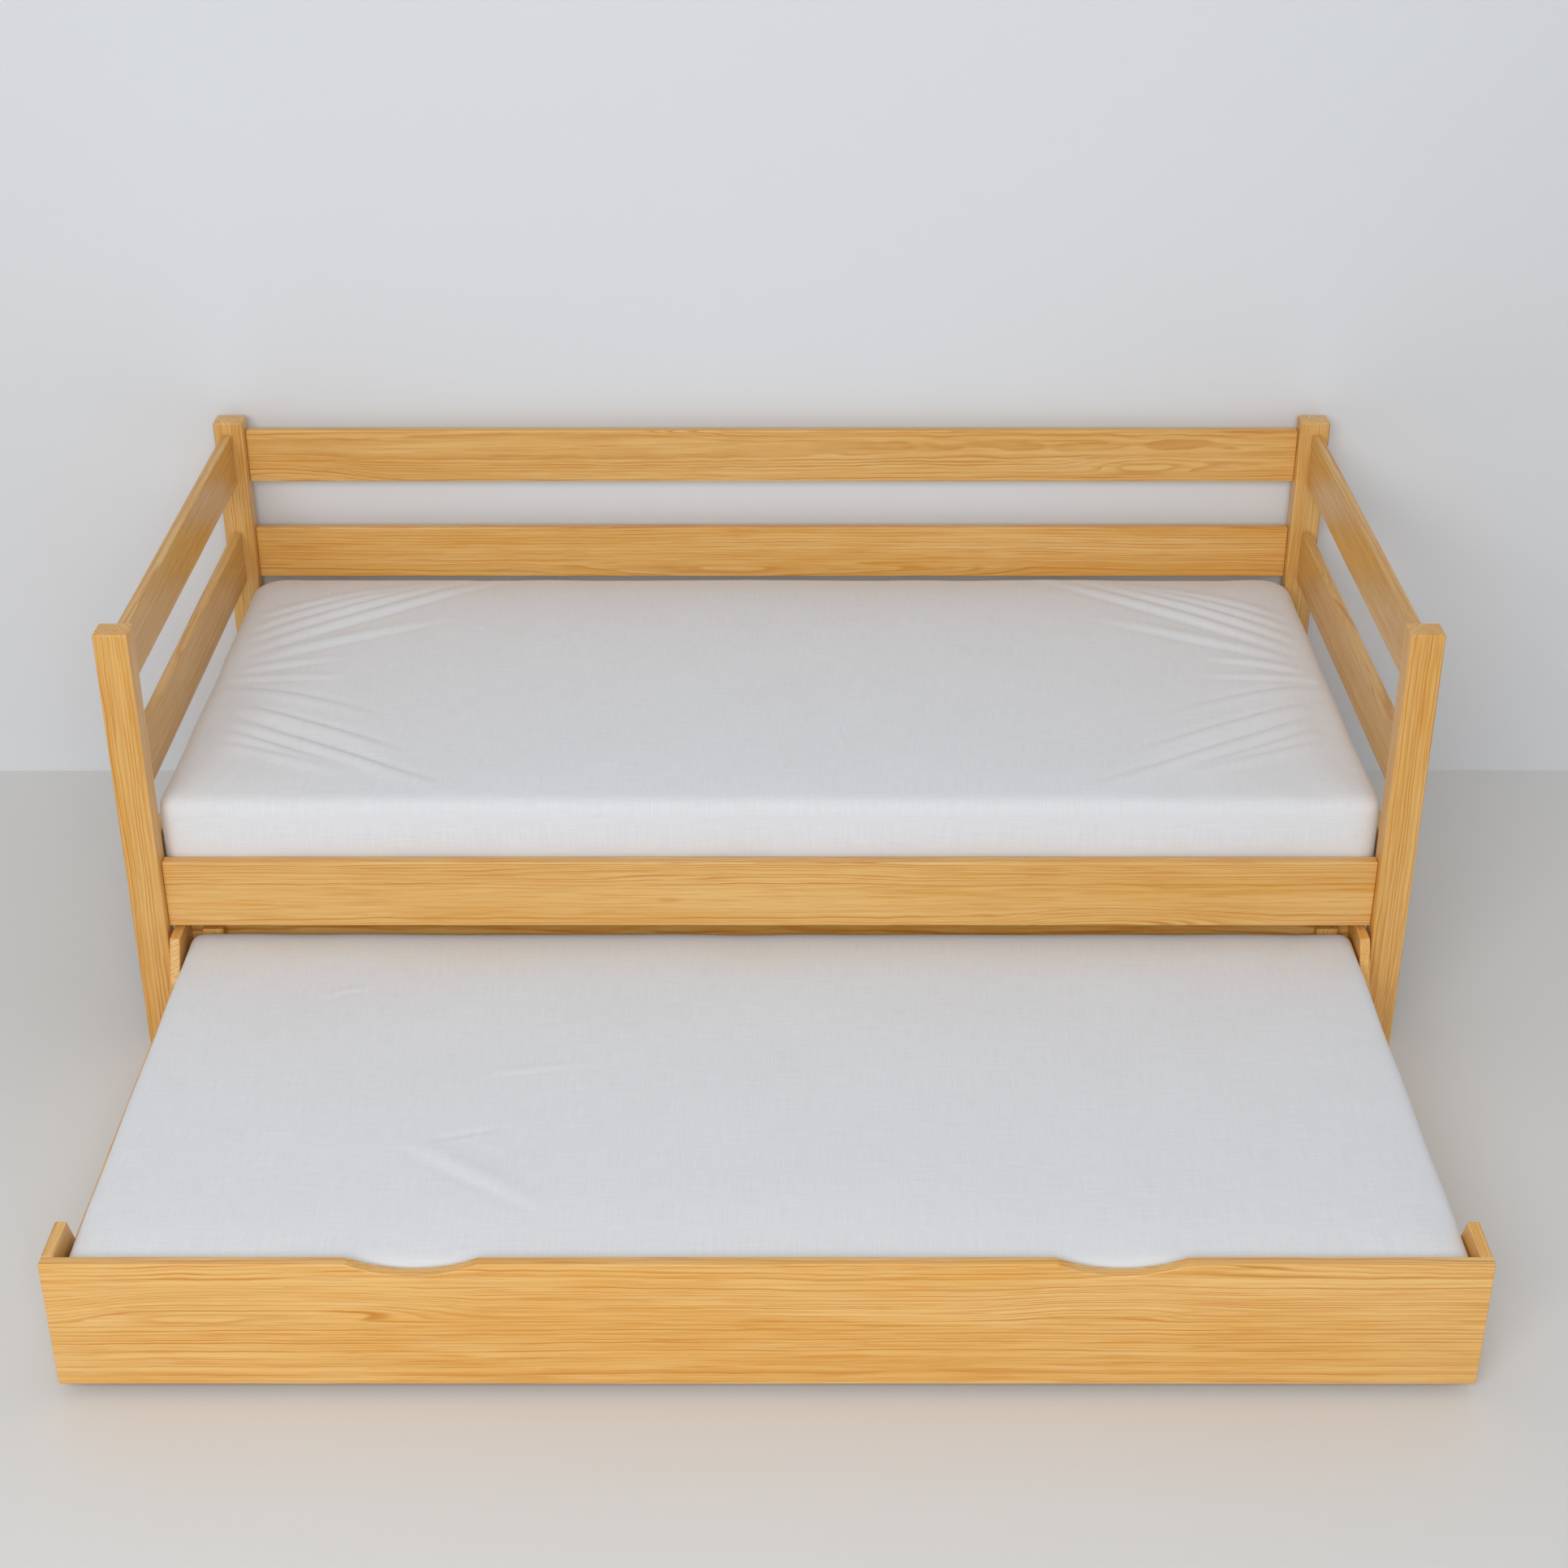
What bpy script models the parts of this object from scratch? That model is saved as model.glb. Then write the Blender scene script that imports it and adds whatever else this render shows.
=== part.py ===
"""Trundle bed: a slatted pine single bed with guard rails on three sides, and a low rolling second bed.

Metres, +Z up. The origin is on the floor, at the centre of the whole object as it stands with the lower
bed rolled out: +X runs along the bed's length, +Y points away from the open side, towards the wall.
The lower bed (the trundle) slides along Y on four rollers and goes in under the upper one.
"""
import math

import bmesh
import bpy
from mathutils import Matrix, Vector

# ---------------------------------------------------------------- driving dimensions
GAP = 0.0003                    # what touching pieces keep between them

BED_LENGTH = 2.090              # over the posts, along X
BED_DEPTH = 0.978               # over the posts, along Y
POST_HEIGHT = 0.7725
POST_WIDTH = 0.0545             # along X
POST_THICKNESS = 0.0453         # along Y
POST_EDGE = 0.0045              # rounding of the posts' edges

RAIL_HEIGHT = 0.1205            # the rails that carry the slats
RAIL_THICKNESS = 0.021
RAIL_BOTTOM = 0.2357            # floor to the rails' lower edge
FRONT_RAIL_SETBACK = 0.0175     # behind the posts' front face
BACK_RAIL_SETBACK = 0.0034      # ahead of the posts' back face

GUARD_HEIGHT = 0.102
GUARD_THICKNESS = 0.018
GUARD_GAP = 0.0945              # between the upper and the lower guard rail
POST_REVEAL = 0.023             # posts stand this far above the guard rails
END_SETBACK = 0.0148            # guard and end rails, in from the posts' outer end faces
BACK_GUARD_INSET = 0.0209       # back guard rails, behind the back posts' front face
BOARD_EDGE = 0.0022             # rounding of the boards' edges

LEDGER_HEIGHT = 0.023
LEDGER_WIDTH = 0.023
LEDGER_LIFT = 0.003             # bed ledgers above the rails' lower edge
SLAT_WIDTH = 0.070
SLAT_THICKNESS = 0.018
SLAT_EDGE = 0.0015
SLAT_PLAY = 0.001               # slat ends to the boards
BED_SLATS = 12
BED_SLAT_MARGIN = 0.060         # posts' inner faces to the middle of the end slats

MATTRESS_THICKNESS = 0.178
MATTRESS_END_PLAY = 0.0122      # mattress to the end rails
MATTRESS_PLAY = 0.0025          # mattress to the front rail
MATTRESS_BACK_PLAY = 0.0086     # mattress to the nearer of the back rail and the back guard rails
MATTRESS_CORNERS = (0.030, 0.060)   # plan radius at the front corners and at the back corners
MATTRESS_ROUND = 0.022          # rounding of the top and bottom edges

BOLT_RADIUS = 0.004             # M8
BOLT_CLEARANCE = 0.0004
BOLT_LENGTH = 0.095
BOLT_HEAD_RADIUS = 0.0075
BOLT_HEAD_HEIGHT = 0.005
BOLT_SOCKET_RADIUS = 0.0029     # across the corners of the hexagon socket
BOLT_SOCKET_DEPTH = 0.003
COUNTERBORE_RADIUS = 0.009
COUNTERBORE_DEPTH = 0.0065
BOLT_ROOT = 0.0015              # how far the shank runs up into its head

TRUNDLE_REACH = 0.841           # trundle front face in front of the posts' front face, rolled out
TRUNDLE_END_PLAY = 0.0055       # trundle ends to the posts
TRUNDLE_BACK_ROOM = 0.0315      # behind the trundle, rolled in flush with the front rail
TRUNDLE_HEADROOM = 0.0061       # under the rails
FLOOR_CLEARANCE = 0.0186
TRUNDLE_BOARD = 0.0175          # front and back boards
TRUNDLE_SIDE = 0.017            # side boards
SIDE_LOW_EDGE = 0.148           # the side boards' top edge between the ears
EAR_TOP = 0.0755                # flat top of an ear, from the board it meets
BACK_EAR_TOP = 0.083
EAR_SLOPE = math.radians(26.0)  # the ear's edge, from upright
EAR_FILLET = 0.045
TRUNDLE_LEDGER_TOP = 0.0620
TRUNDLE_SLATS = 10
TRUNDLE_SLAT_MARGIN = 0.098     # side boards' inner faces to the middle of the end slats
TRUNDLE_MATTRESS_THICKNESS = 0.127
TRUNDLE_MATTRESS_PLAY = 0.003
TRUNDLE_MATTRESS_BACK_PLAY = 0.0037   # mattress to the blocks on the back board
TRUNDLE_MATTRESS_CORNERS = (0.024, 0.024)
TRUNDLE_MATTRESS_ROUND = 0.010

GRIP_WIDTH = 0.180              # chord of a finger cut-out
GRIP_DEPTH = 0.0195
GRIP_OFFSET = 0.4817            # its middle, from the middle of the board

BLOCK_WIDTH = 0.0352            # the blocks on the trundle's back board
BLOCK_THICKNESS = 0.0200
BLOCK_TOP = 0.2085
BLOCK_OFFSET = 0.0217           # from the side board's inner face

WHEEL_RADIUS = 0.025
WHEEL_WIDTH = 0.018
WHEEL_TREAD_ROUND = 0.004
WHEEL_INSET = 0.110             # wheel axle behind the front board, and ahead of the back board
HUB_RADIUS = 0.008
HUB_PROUD = 0.0008
WEB_RECESS = 0.004
AXLE_RADIUS = 0.003
AXLE_CLEARANCE = 0.0003
BRACKET_PLATE = 0.0025
BRACKET_SIDE_PLAY = 0.0012      # wheel hub to a cheek
BRACKET_HALF_LENGTH = 0.019
BRACKET_TOP_PLAY = 0.004        # wheel tread to the bracket's top plate
BRACKET_LOW = 0.012             # cheeks' lower end above the floor

# ---------------------------------------------------------------- worked out from them
HALF_LENGTH = BED_LENGTH / 2
POST_INNER = HALF_LENGTH - POST_WIDTH
FRONT_Y = -(BED_DEPTH + TRUNDLE_REACH) / 2          # the trundle's front face
POSTS_FRONT_Y = FRONT_Y + TRUNDLE_REACH
POSTS_BACK_Y = POSTS_FRONT_Y + BED_DEPTH
BACK_POST_FRONT_Y = POSTS_BACK_Y - POST_THICKNESS
BACK_GUARD_Y = BACK_POST_FRONT_Y + BACK_GUARD_INSET
BACK_RAIL_Y = POSTS_BACK_Y - BACK_RAIL_SETBACK - RAIL_THICKNESS
FRONT_RAIL_Y = POSTS_FRONT_Y + FRONT_RAIL_SETBACK
FRONT_RAIL_BACK_Y = FRONT_RAIL_Y + RAIL_THICKNESS
END_OUTER_X = HALF_LENGTH - END_SETBACK
UPPER_GUARD_BOTTOM = POST_HEIGHT - POST_REVEAL - GUARD_HEIGHT
LOWER_GUARD_BOTTOM = UPPER_GUARD_BOTTOM - GUARD_GAP - GUARD_HEIGHT
LEDGER_BOTTOM = RAIL_BOTTOM + LEDGER_LIFT
SLAT_BOTTOM = LEDGER_BOTTOM + LEDGER_HEIGHT + GAP
SLAT_TOP = SLAT_BOTTOM + SLAT_THICKNESS

TRUNDLE_DEPTH = BED_DEPTH - FRONT_RAIL_SETBACK - TRUNDLE_BACK_ROOM
TRUNDLE_TOP = RAIL_BOTTOM - TRUNDLE_HEADROOM
TRUNDLE_HALF = POST_INNER - TRUNDLE_END_PLAY
TRUNDLE_INNER = TRUNDLE_HALF - TRUNDLE_SIDE
BACK_BOARD_Y = FRONT_Y + TRUNDLE_DEPTH - TRUNDLE_BOARD   # front face of the trundle's back board
FRONT_BOARD_BACK_Y = FRONT_Y + TRUNDLE_BOARD
TRUNDLE_SLAT_BOTTOM = TRUNDLE_LEDGER_TOP + GAP
TRUNDLE_SLAT_TOP = TRUNDLE_SLAT_BOTTOM + SLAT_THICKNESS

SIDES = {"left": -1, "right": 1}


# ---------------------------------------------------------------- materials
def material(name, color, roughness, metallic=0.0):
    """A Principled material of one colour."""
    mat = bpy.data.materials.new(name)
    mat.use_nodes = True
    shader = mat.node_tree.nodes["Principled BSDF"]
    shader.inputs["Base Color"].default_value = (*color, 1.0)
    shader.inputs["Roughness"].default_value = roughness
    shader.inputs["Metallic"].default_value = metallic
    return mat


def pine(name):
    return material(name, (0.66, 0.40, 0.15), 0.42)


def white_cotton(name):
    return material(name, (0.80, 0.80, 0.81), 0.9)


def zinc_steel(name):
    return material(name, (0.62, 0.63, 0.65), 0.35, 1.0)


def grey_plastic(name):
    return material(name, (0.10, 0.10, 0.11), 0.5)


# ---------------------------------------------------------------- building tools
def add_object(name, mesh, mat, location=(0, 0, 0), parent=None):
    obj = bpy.data.objects.new(name, mesh)
    bpy.context.scene.collection.objects.link(obj)
    obj.location = location
    obj.parent = parent
    if mat:
        mesh.materials.append(mat)
    return obj


def bevel(obj, width, segments=2):
    """Rounds every edge of a board."""
    mod = obj.modifiers.new("rounded_edges", "BEVEL")
    mod.width = width
    mod.segments = segments
    mod.limit_method = "ANGLE"
    mod.angle_limit = math.radians(40)
    mod.harden_normals = False
    return mod


def cut(obj, cutter):
    """Takes the cutter's shape out of the object."""
    mod = obj.modifiers.new("cut_" + cutter.name, "BOOLEAN")
    mod.operation = "DIFFERENCE"
    mod.solver = "EXACT"
    mod.object = cutter
    cutter.hide_render = True
    cutter.display_type = "WIRE"


def box_mesh(name, low, high):
    """A box between two corners, about its own centre; returns the mesh and the centre."""
    low, high = Vector(low), Vector(high)
    size, middle = high - low, (high + low) / 2
    bm = bmesh.new()
    bmesh.ops.create_cube(bm, size=1.0, matrix=Matrix.Diagonal((*size, 1.0)))
    mesh = bpy.data.meshes.new(name)
    bm.to_mesh(mesh)
    bm.free()
    return mesh, middle


def board(name, low, high, mat, edge=BOARD_EDGE, parent=None):
    """A board with rounded edges; the thinnest edges, on hidden battens, are plain chamfers."""
    mesh, middle = box_mesh(name, low, high)
    offset = parent.location if parent else Vector()
    obj = add_object(name, mesh, mat, middle - offset, parent)
    bevel(obj, edge, segments=1 if edge <= SLAT_EDGE else 2)
    return obj


def mirrored_x(side, inner, outer):
    """The low and high X of something between two distances from the middle, on one side."""
    low, high = sorted((side * inner, side * outer))
    return low, high


def outline_mesh(name, points, axis_matrix, thickness):
    """A flat outline in its own XY plane, extruded by thickness along its Z, then turned into place."""
    bm = bmesh.new()
    face = bm.faces.new([bm.verts.new((x, y, 0)) for x, y in points])
    extruded = bmesh.ops.extrude_face_region(bm, geom=[face])
    top = [v for v in extruded["geom"] if isinstance(v, bmesh.types.BMVert)]
    bmesh.ops.translate(bm, verts=top, vec=(0, 0, thickness))
    bmesh.ops.transform(bm, matrix=axis_matrix, verts=bm.verts)
    bmesh.ops.recalc_face_normals(bm, faces=bm.faces)
    mesh = bpy.data.meshes.new(name)
    bm.to_mesh(mesh)
    bm.free()
    return mesh


def cylinder_mesh(name, radius, length, segments=24):
    """A cylinder along X, centred."""
    bm = bmesh.new()
    turn = Matrix.Rotation(math.radians(90), 4, "Y")
    bmesh.ops.create_cone(bm, cap_ends=True, segments=segments, radius1=radius, radius2=radius,
                          depth=length, matrix=turn)
    mesh = bpy.data.meshes.new(name)
    bm.to_mesh(mesh)
    bm.free()
    return mesh


def lathe_mesh(name, profile, segments=28):
    """Turns a closed profile of (x, radius) points about the X axis, starting straight down."""
    bm = bmesh.new()
    rings = []
    for step in range(segments):
        angle = 2 * math.pi * step / segments
        rings.append([bm.verts.new((x, r * math.sin(angle), -r * math.cos(angle))) for x, r in profile])
    for step in range(segments):
        ring, following = rings[step], rings[(step + 1) % segments]
        for i in range(len(profile)):
            j = (i + 1) % len(profile)
            bm.faces.new((ring[i], ring[j], following[j], following[i]))
    bmesh.ops.recalc_face_normals(bm, faces=bm.faces)
    mesh = bpy.data.meshes.new(name)
    bm.to_mesh(mesh)
    bm.free()
    mesh.shade_smooth()
    mesh.set_sharp_from_angle(angle=math.radians(35))
    return mesh


def pad(name, low, high, corners, rounding, mat, parent=None):
    """A mattress: a rectangle in plan, rounded at its front and back corners, with soft top and bottom edges."""
    low, high = Vector(low), Vector(high)
    middle = (low + high) / 2
    half = (high - low) / 2
    steps = 6
    points = []
    for sx, sy, start in ((1, 1, 0), (-1, 1, 90), (-1, -1, 180), (1, -1, 270)):
        corner = corners[0] if sy < 0 else corners[1]
        for step in range(steps + 1):
            angle = math.radians(start + 90 * step / steps)
            points.append((sx * (half.x - corner) + corner * math.cos(angle),
                           sy * (half.y - corner) + corner * math.sin(angle)))
    lift = Matrix.Translation((0, 0, -half.z))
    mesh = outline_mesh(name, points, lift, 2 * half.z)
    offset = parent.location if parent else Vector()
    obj = add_object(name, mesh, mat, middle - offset, parent)
    bevel(obj, rounding, segments=4)
    return obj


# ---------------------------------------------------------------- the upper bed
def build_posts():
    """Four corner posts, each bored for the bolt that holds a long rail."""
    posts = {}
    for end, front_y in (("front", POSTS_FRONT_Y), ("back", BACK_POST_FRONT_Y)):
        for side, sign in SIDES.items():
            low_x, high_x = mirrored_x(sign, POST_INNER, HALF_LENGTH)
            name = f"post_{end}_{side}"
            posts[end, side] = board(name, (low_x, front_y, 0), (high_x, front_y + POST_THICKNESS, POST_HEIGHT),
                                     pine(name), POST_EDGE)
    return posts


def build_guard_rails():
    """Two guard rails along the back and two across each end, between the posts."""
    for level, bottom in (("upper", UPPER_GUARD_BOTTOM), ("lower", LOWER_GUARD_BOTTOM)):
        top = bottom + GUARD_HEIGHT
        name = f"back_guard_rail_{level}"
        board(name, (-POST_INNER + GAP, BACK_GUARD_Y, bottom),
              (POST_INNER - GAP, BACK_GUARD_Y + GUARD_THICKNESS, top), pine(name))
        for side, sign in SIDES.items():
            low_x, high_x = mirrored_x(sign, END_OUTER_X - GUARD_THICKNESS, END_OUTER_X)
            name = f"{side}_guard_rail_{level}"
            board(name, (low_x, POSTS_FRONT_Y + POST_THICKNESS + GAP, bottom),
                  (high_x, BACK_POST_FRONT_Y - GAP, top), pine(name))


def build_bed_rails():
    """The front and back rails, the two end rails, and the ledgers that carry the slats."""
    rails = {}
    top = RAIL_BOTTOM + RAIL_HEIGHT
    for place, front_y in (("front", FRONT_RAIL_Y), ("back", BACK_RAIL_Y)):
        name = f"bed_rail_{place}"
        rails[place] = board(name, (-POST_INNER + GAP, front_y, RAIL_BOTTOM),
                             (POST_INNER - GAP, front_y + RAIL_THICKNESS, top), pine(name))
    for side, sign in SIDES.items():
        low_x, high_x = mirrored_x(sign, END_OUTER_X - GUARD_THICKNESS, END_OUTER_X)
        name = f"end_rail_{side}"
        board(name, (low_x, POSTS_FRONT_Y + POST_THICKNESS + GAP, RAIL_BOTTOM),
              (high_x, BACK_POST_FRONT_Y - GAP, top), pine(name))
    ledger_starts = {"front": FRONT_RAIL_BACK_Y + GAP, "back": BACK_RAIL_Y - GAP - LEDGER_WIDTH}
    for place, start_y in ledger_starts.items():
        name = f"bed_ledger_{place}"
        board(name, (-POST_INNER + GAP, start_y, LEDGER_BOTTOM),
              (POST_INNER - GAP, start_y + LEDGER_WIDTH, LEDGER_BOTTOM + LEDGER_HEIGHT), pine(name), SLAT_EDGE)
    return rails


def slat_row(prefix, count, half_span, low_y, high_y, bottom, parent=None):
    """Evenly spaced slats along X, between two distances from the middle."""
    for index in range(count):
        x = -half_span + 2 * half_span * index / (count - 1)
        name = f"{prefix}_{index + 1:02d}"
        board(name, (x - SLAT_WIDTH / 2, low_y, bottom), (x + SLAT_WIDTH / 2, high_y, bottom + SLAT_THICKNESS),
              pine(name), SLAT_EDGE, parent)


def build_bed_slats():
    slat_row("bed_slat", BED_SLATS, POST_INNER - BED_SLAT_MARGIN,
             FRONT_RAIL_BACK_Y + SLAT_PLAY, BACK_RAIL_Y - SLAT_PLAY, SLAT_BOTTOM)


def build_bed_mattress():
    bottom = SLAT_TOP + GAP
    half = END_OUTER_X - GUARD_THICKNESS - MATTRESS_END_PLAY
    back_y = min(BACK_RAIL_Y, BACK_GUARD_Y) - MATTRESS_BACK_PLAY
    pad("bed_mattress", (-half, FRONT_RAIL_BACK_Y + MATTRESS_PLAY, bottom),
        (half, back_y, bottom + MATTRESS_THICKNESS),
        MATTRESS_CORNERS, MATTRESS_ROUND, white_cotton("bed_mattress"))


def build_bolts(posts, rails):
    """One bolt through each post into the end of a long rail, its head sunk in a counterbore."""
    height = RAIL_BOTTOM + RAIL_HEIGHT / 2
    rail_y = {"front": FRONT_RAIL_Y + RAIL_THICKNESS / 2, "back": BACK_RAIL_Y + RAIL_THICKNESS / 2}
    seat_x = HALF_LENGTH - COUNTERBORE_DEPTH
    shank = cylinder_mesh("bolt_shank", BOLT_RADIUS, BOLT_LENGTH + BOLT_ROOT)
    head = cylinder_mesh("bolt_head", BOLT_HEAD_RADIUS, BOLT_HEAD_HEIGHT, 32)
    for (end, side), post in posts.items():
        sign = SIDES[side]
        y = rail_y[end]
        tip_x = seat_x - BOLT_LENGTH

        bore = add_object(f"bore_{end}_{side}",
                          cylinder_mesh("bore", BOLT_RADIUS + BOLT_CLEARANCE, 2 * BOLT_LENGTH, 20), None,
                          (sign * (tip_x - GAP + BOLT_LENGTH), y, height))
        counterbore = add_object(f"counterbore_{end}_{side}",
                                 cylinder_mesh("counterbore", COUNTERBORE_RADIUS, 2 * COUNTERBORE_DEPTH), None,
                                 (sign * HALF_LENGTH, y, height))
        cut(post, bore)
        cut(post, counterbore)
        cut(rails[end], bore)

        name = f"bed_bolt_{end}_{side}"
        bolt = add_object(name, shank.copy(), zinc_steel(name),
                          (sign * (seat_x + GAP + (BOLT_ROOT - BOLT_LENGTH) / 2), y, height))
        head_x = seat_x + GAP + BOLT_HEAD_HEIGHT / 2
        cap = add_object(f"head_{end}_{side}", head, None, (sign * head_x, y, height))
        join(bolt, cap)
        socket = add_object(f"socket_{end}_{side}",
                            cylinder_mesh("socket", BOLT_SOCKET_RADIUS, 2 * BOLT_SOCKET_DEPTH, 6), None,
                            (sign * (head_x + BOLT_HEAD_HEIGHT / 2), y, height))
        cut(bolt, socket)


def join(obj, other):
    """Unites another shape with the object into one body."""
    mod = obj.modifiers.new("join_" + other.name, "BOOLEAN")
    mod.operation = "UNION"
    mod.solver = "EXACT"
    mod.object = other
    other.hide_render = True
    other.display_type = "WIRE"


# ---------------------------------------------------------------- the trundle
def arc_points(center, radius, start, end, steps):
    """Points on an arc between two angles, both ends included."""
    return [(center[0] + radius * math.cos(start + (end - start) * i / steps),
             center[1] + radius * math.sin(start + (end - start) * i / steps)) for i in range(steps + 1)]


def front_board_outline():
    """The front board's face in X and Z, with its two shallow finger cut-outs along the top."""
    half_chord = GRIP_WIDTH / 2
    radius = (half_chord ** 2 + GRIP_DEPTH ** 2) / (2 * GRIP_DEPTH)
    spread = math.asin(half_chord / radius)
    center_z = TRUNDLE_TOP - GRIP_DEPTH + radius
    points = [(-TRUNDLE_HALF, FLOOR_CLEARANCE), (TRUNDLE_HALF, FLOOR_CLEARANCE), (TRUNDLE_HALF, TRUNDLE_TOP)]
    down = -math.pi / 2
    for x in (GRIP_OFFSET, -GRIP_OFFSET):
        points += arc_points((x, center_z), radius, down + spread, down - spread, 14)
    return points + [(-TRUNDLE_HALF, TRUNDLE_TOP)]


def ear_edge(corner_y, direction):
    """An ear's sloping edge, from its top corner down to the side's low edge, with its concave foot."""
    drop = TRUNDLE_TOP - SIDE_LOW_EDGE
    bend = math.pi / 2 - EAR_SLOPE
    meet_y = drop * math.tan(EAR_SLOPE)
    tangent_y = meet_y + EAR_FILLET * math.tan(bend / 2)
    center = (tangent_y, SIDE_LOW_EDGE + EAR_FILLET)
    foot = arc_points(center, EAR_FILLET, -math.pi / 2 - bend, -math.pi / 2, 8)
    points = [(0.0, TRUNDLE_TOP)] + foot
    return [(corner_y + direction * y, z) for y, z in points]


def side_outline():
    """A side board's face in Y and Z: low between two raised ears."""
    low_y, high_y = FRONT_BOARD_BACK_Y + GAP, BACK_BOARD_Y - GAP
    front_ear = ear_edge(low_y + EAR_TOP, 1)
    back_ear = ear_edge(high_y - BACK_EAR_TOP, -1)
    points = [(low_y, TRUNDLE_TOP)] + front_ear + back_ear[::-1]
    return points + [(high_y, TRUNDLE_TOP), (high_y, FLOOR_CLEARANCE), (low_y, FLOOR_CLEARANCE)]


def build_trundle_boards(trundle):
    """The front and back boards and the two eared side boards."""
    to_xz = Matrix(((1, 0, 0, 0), (0, 0, 1, 0), (0, 1, 0, 0), (0, 0, 0, 1)))
    mesh = outline_mesh("trundle_front_board", front_board_outline(), to_xz, TRUNDLE_BOARD)
    front = add_object("trundle_front_board", mesh, pine("trundle_front_board"),
                       Vector((0, FRONT_Y, 0)) - trundle.location, trundle)
    bevel(front, BOARD_EDGE)

    board("trundle_back_board", (-TRUNDLE_HALF, BACK_BOARD_Y, FLOOR_CLEARANCE),
          (TRUNDLE_HALF, BACK_BOARD_Y + TRUNDLE_BOARD, TRUNDLE_TOP),
          pine("trundle_back_board"), BOARD_EDGE, trundle)

    to_yz = Matrix(((0, 0, 1, 0), (1, 0, 0, 0), (0, 1, 0, 0), (0, 0, 0, 1)))
    for side, sign in SIDES.items():
        name = f"trundle_side_{side}"
        mesh = outline_mesh(name, side_outline(), to_yz, TRUNDLE_SIDE)
        start_x = mirrored_x(sign, TRUNDLE_INNER, TRUNDLE_HALF)[0]
        obj = add_object(name, mesh, pine(name), Vector((start_x, 0, 0)) - trundle.location, trundle)
        bevel(obj, BOARD_EDGE)


def build_trundle_base(trundle):
    """Ledgers on the front and back boards, the slats on them, and the two blocks at the back."""
    ledger_bottom = TRUNDLE_LEDGER_TOP - LEDGER_HEIGHT
    ledger_starts = {"front": FRONT_BOARD_BACK_Y + GAP, "back": BACK_BOARD_Y - GAP - LEDGER_WIDTH}
    for place, start_y in ledger_starts.items():
        name = f"trundle_ledger_{place}"
        board(name, (-TRUNDLE_INNER + GAP, start_y, ledger_bottom),
              (TRUNDLE_INNER - GAP, start_y + LEDGER_WIDTH, TRUNDLE_LEDGER_TOP), pine(name), SLAT_EDGE, trundle)
    slat_row("trundle_slat", TRUNDLE_SLATS, TRUNDLE_INNER - TRUNDLE_SLAT_MARGIN,
             FRONT_BOARD_BACK_Y + SLAT_PLAY, BACK_BOARD_Y - SLAT_PLAY, TRUNDLE_SLAT_BOTTOM, trundle)
    for side, sign in SIDES.items():
        name = f"back_block_{side}"
        outer = TRUNDLE_INNER - BLOCK_OFFSET
        low_x, high_x = mirrored_x(sign, outer - BLOCK_WIDTH, outer)
        board(name, (low_x, BACK_BOARD_Y - GAP - BLOCK_THICKNESS, TRUNDLE_LEDGER_TOP + GAP),
              (high_x, BACK_BOARD_Y - GAP, BLOCK_TOP), pine(name), BOARD_EDGE, trundle)


def build_trundle_mattress(trundle):
    bottom = TRUNDLE_SLAT_TOP + GAP
    half = TRUNDLE_INNER - TRUNDLE_MATTRESS_PLAY
    end_y = BACK_BOARD_Y - BLOCK_THICKNESS - TRUNDLE_MATTRESS_BACK_PLAY
    pad("trundle_mattress", (-half, FRONT_BOARD_BACK_Y + TRUNDLE_MATTRESS_PLAY, bottom),
        (half, end_y, bottom + TRUNDLE_MATTRESS_THICKNESS),
        TRUNDLE_MATTRESS_CORNERS, TRUNDLE_MATTRESS_ROUND, white_cotton("trundle_mattress"), trundle)


def wheel_profile():
    """Half a roller's section as (x, radius) points: bore, hub, dished web and rounded tread."""
    half = WHEEL_WIDTH / 2
    bore = AXLE_RADIUS + AXLE_CLEARANCE
    rim = WHEEL_RADIUS - 2 * WHEEL_TREAD_ROUND
    right = [(half + HUB_PROUD, bore), (half + HUB_PROUD, HUB_RADIUS), (half - WEB_RECESS, HUB_RADIUS + 0.001),
             (half - WEB_RECESS, rim - 0.001), (half, rim)]
    right += arc_points((half - WHEEL_TREAD_ROUND, WHEEL_RADIUS - WHEEL_TREAD_ROUND), WHEEL_TREAD_ROUND,
                        0.0, math.pi / 2, 3)
    return right + [(-x, r) for x, r in reversed(right)]


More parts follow.
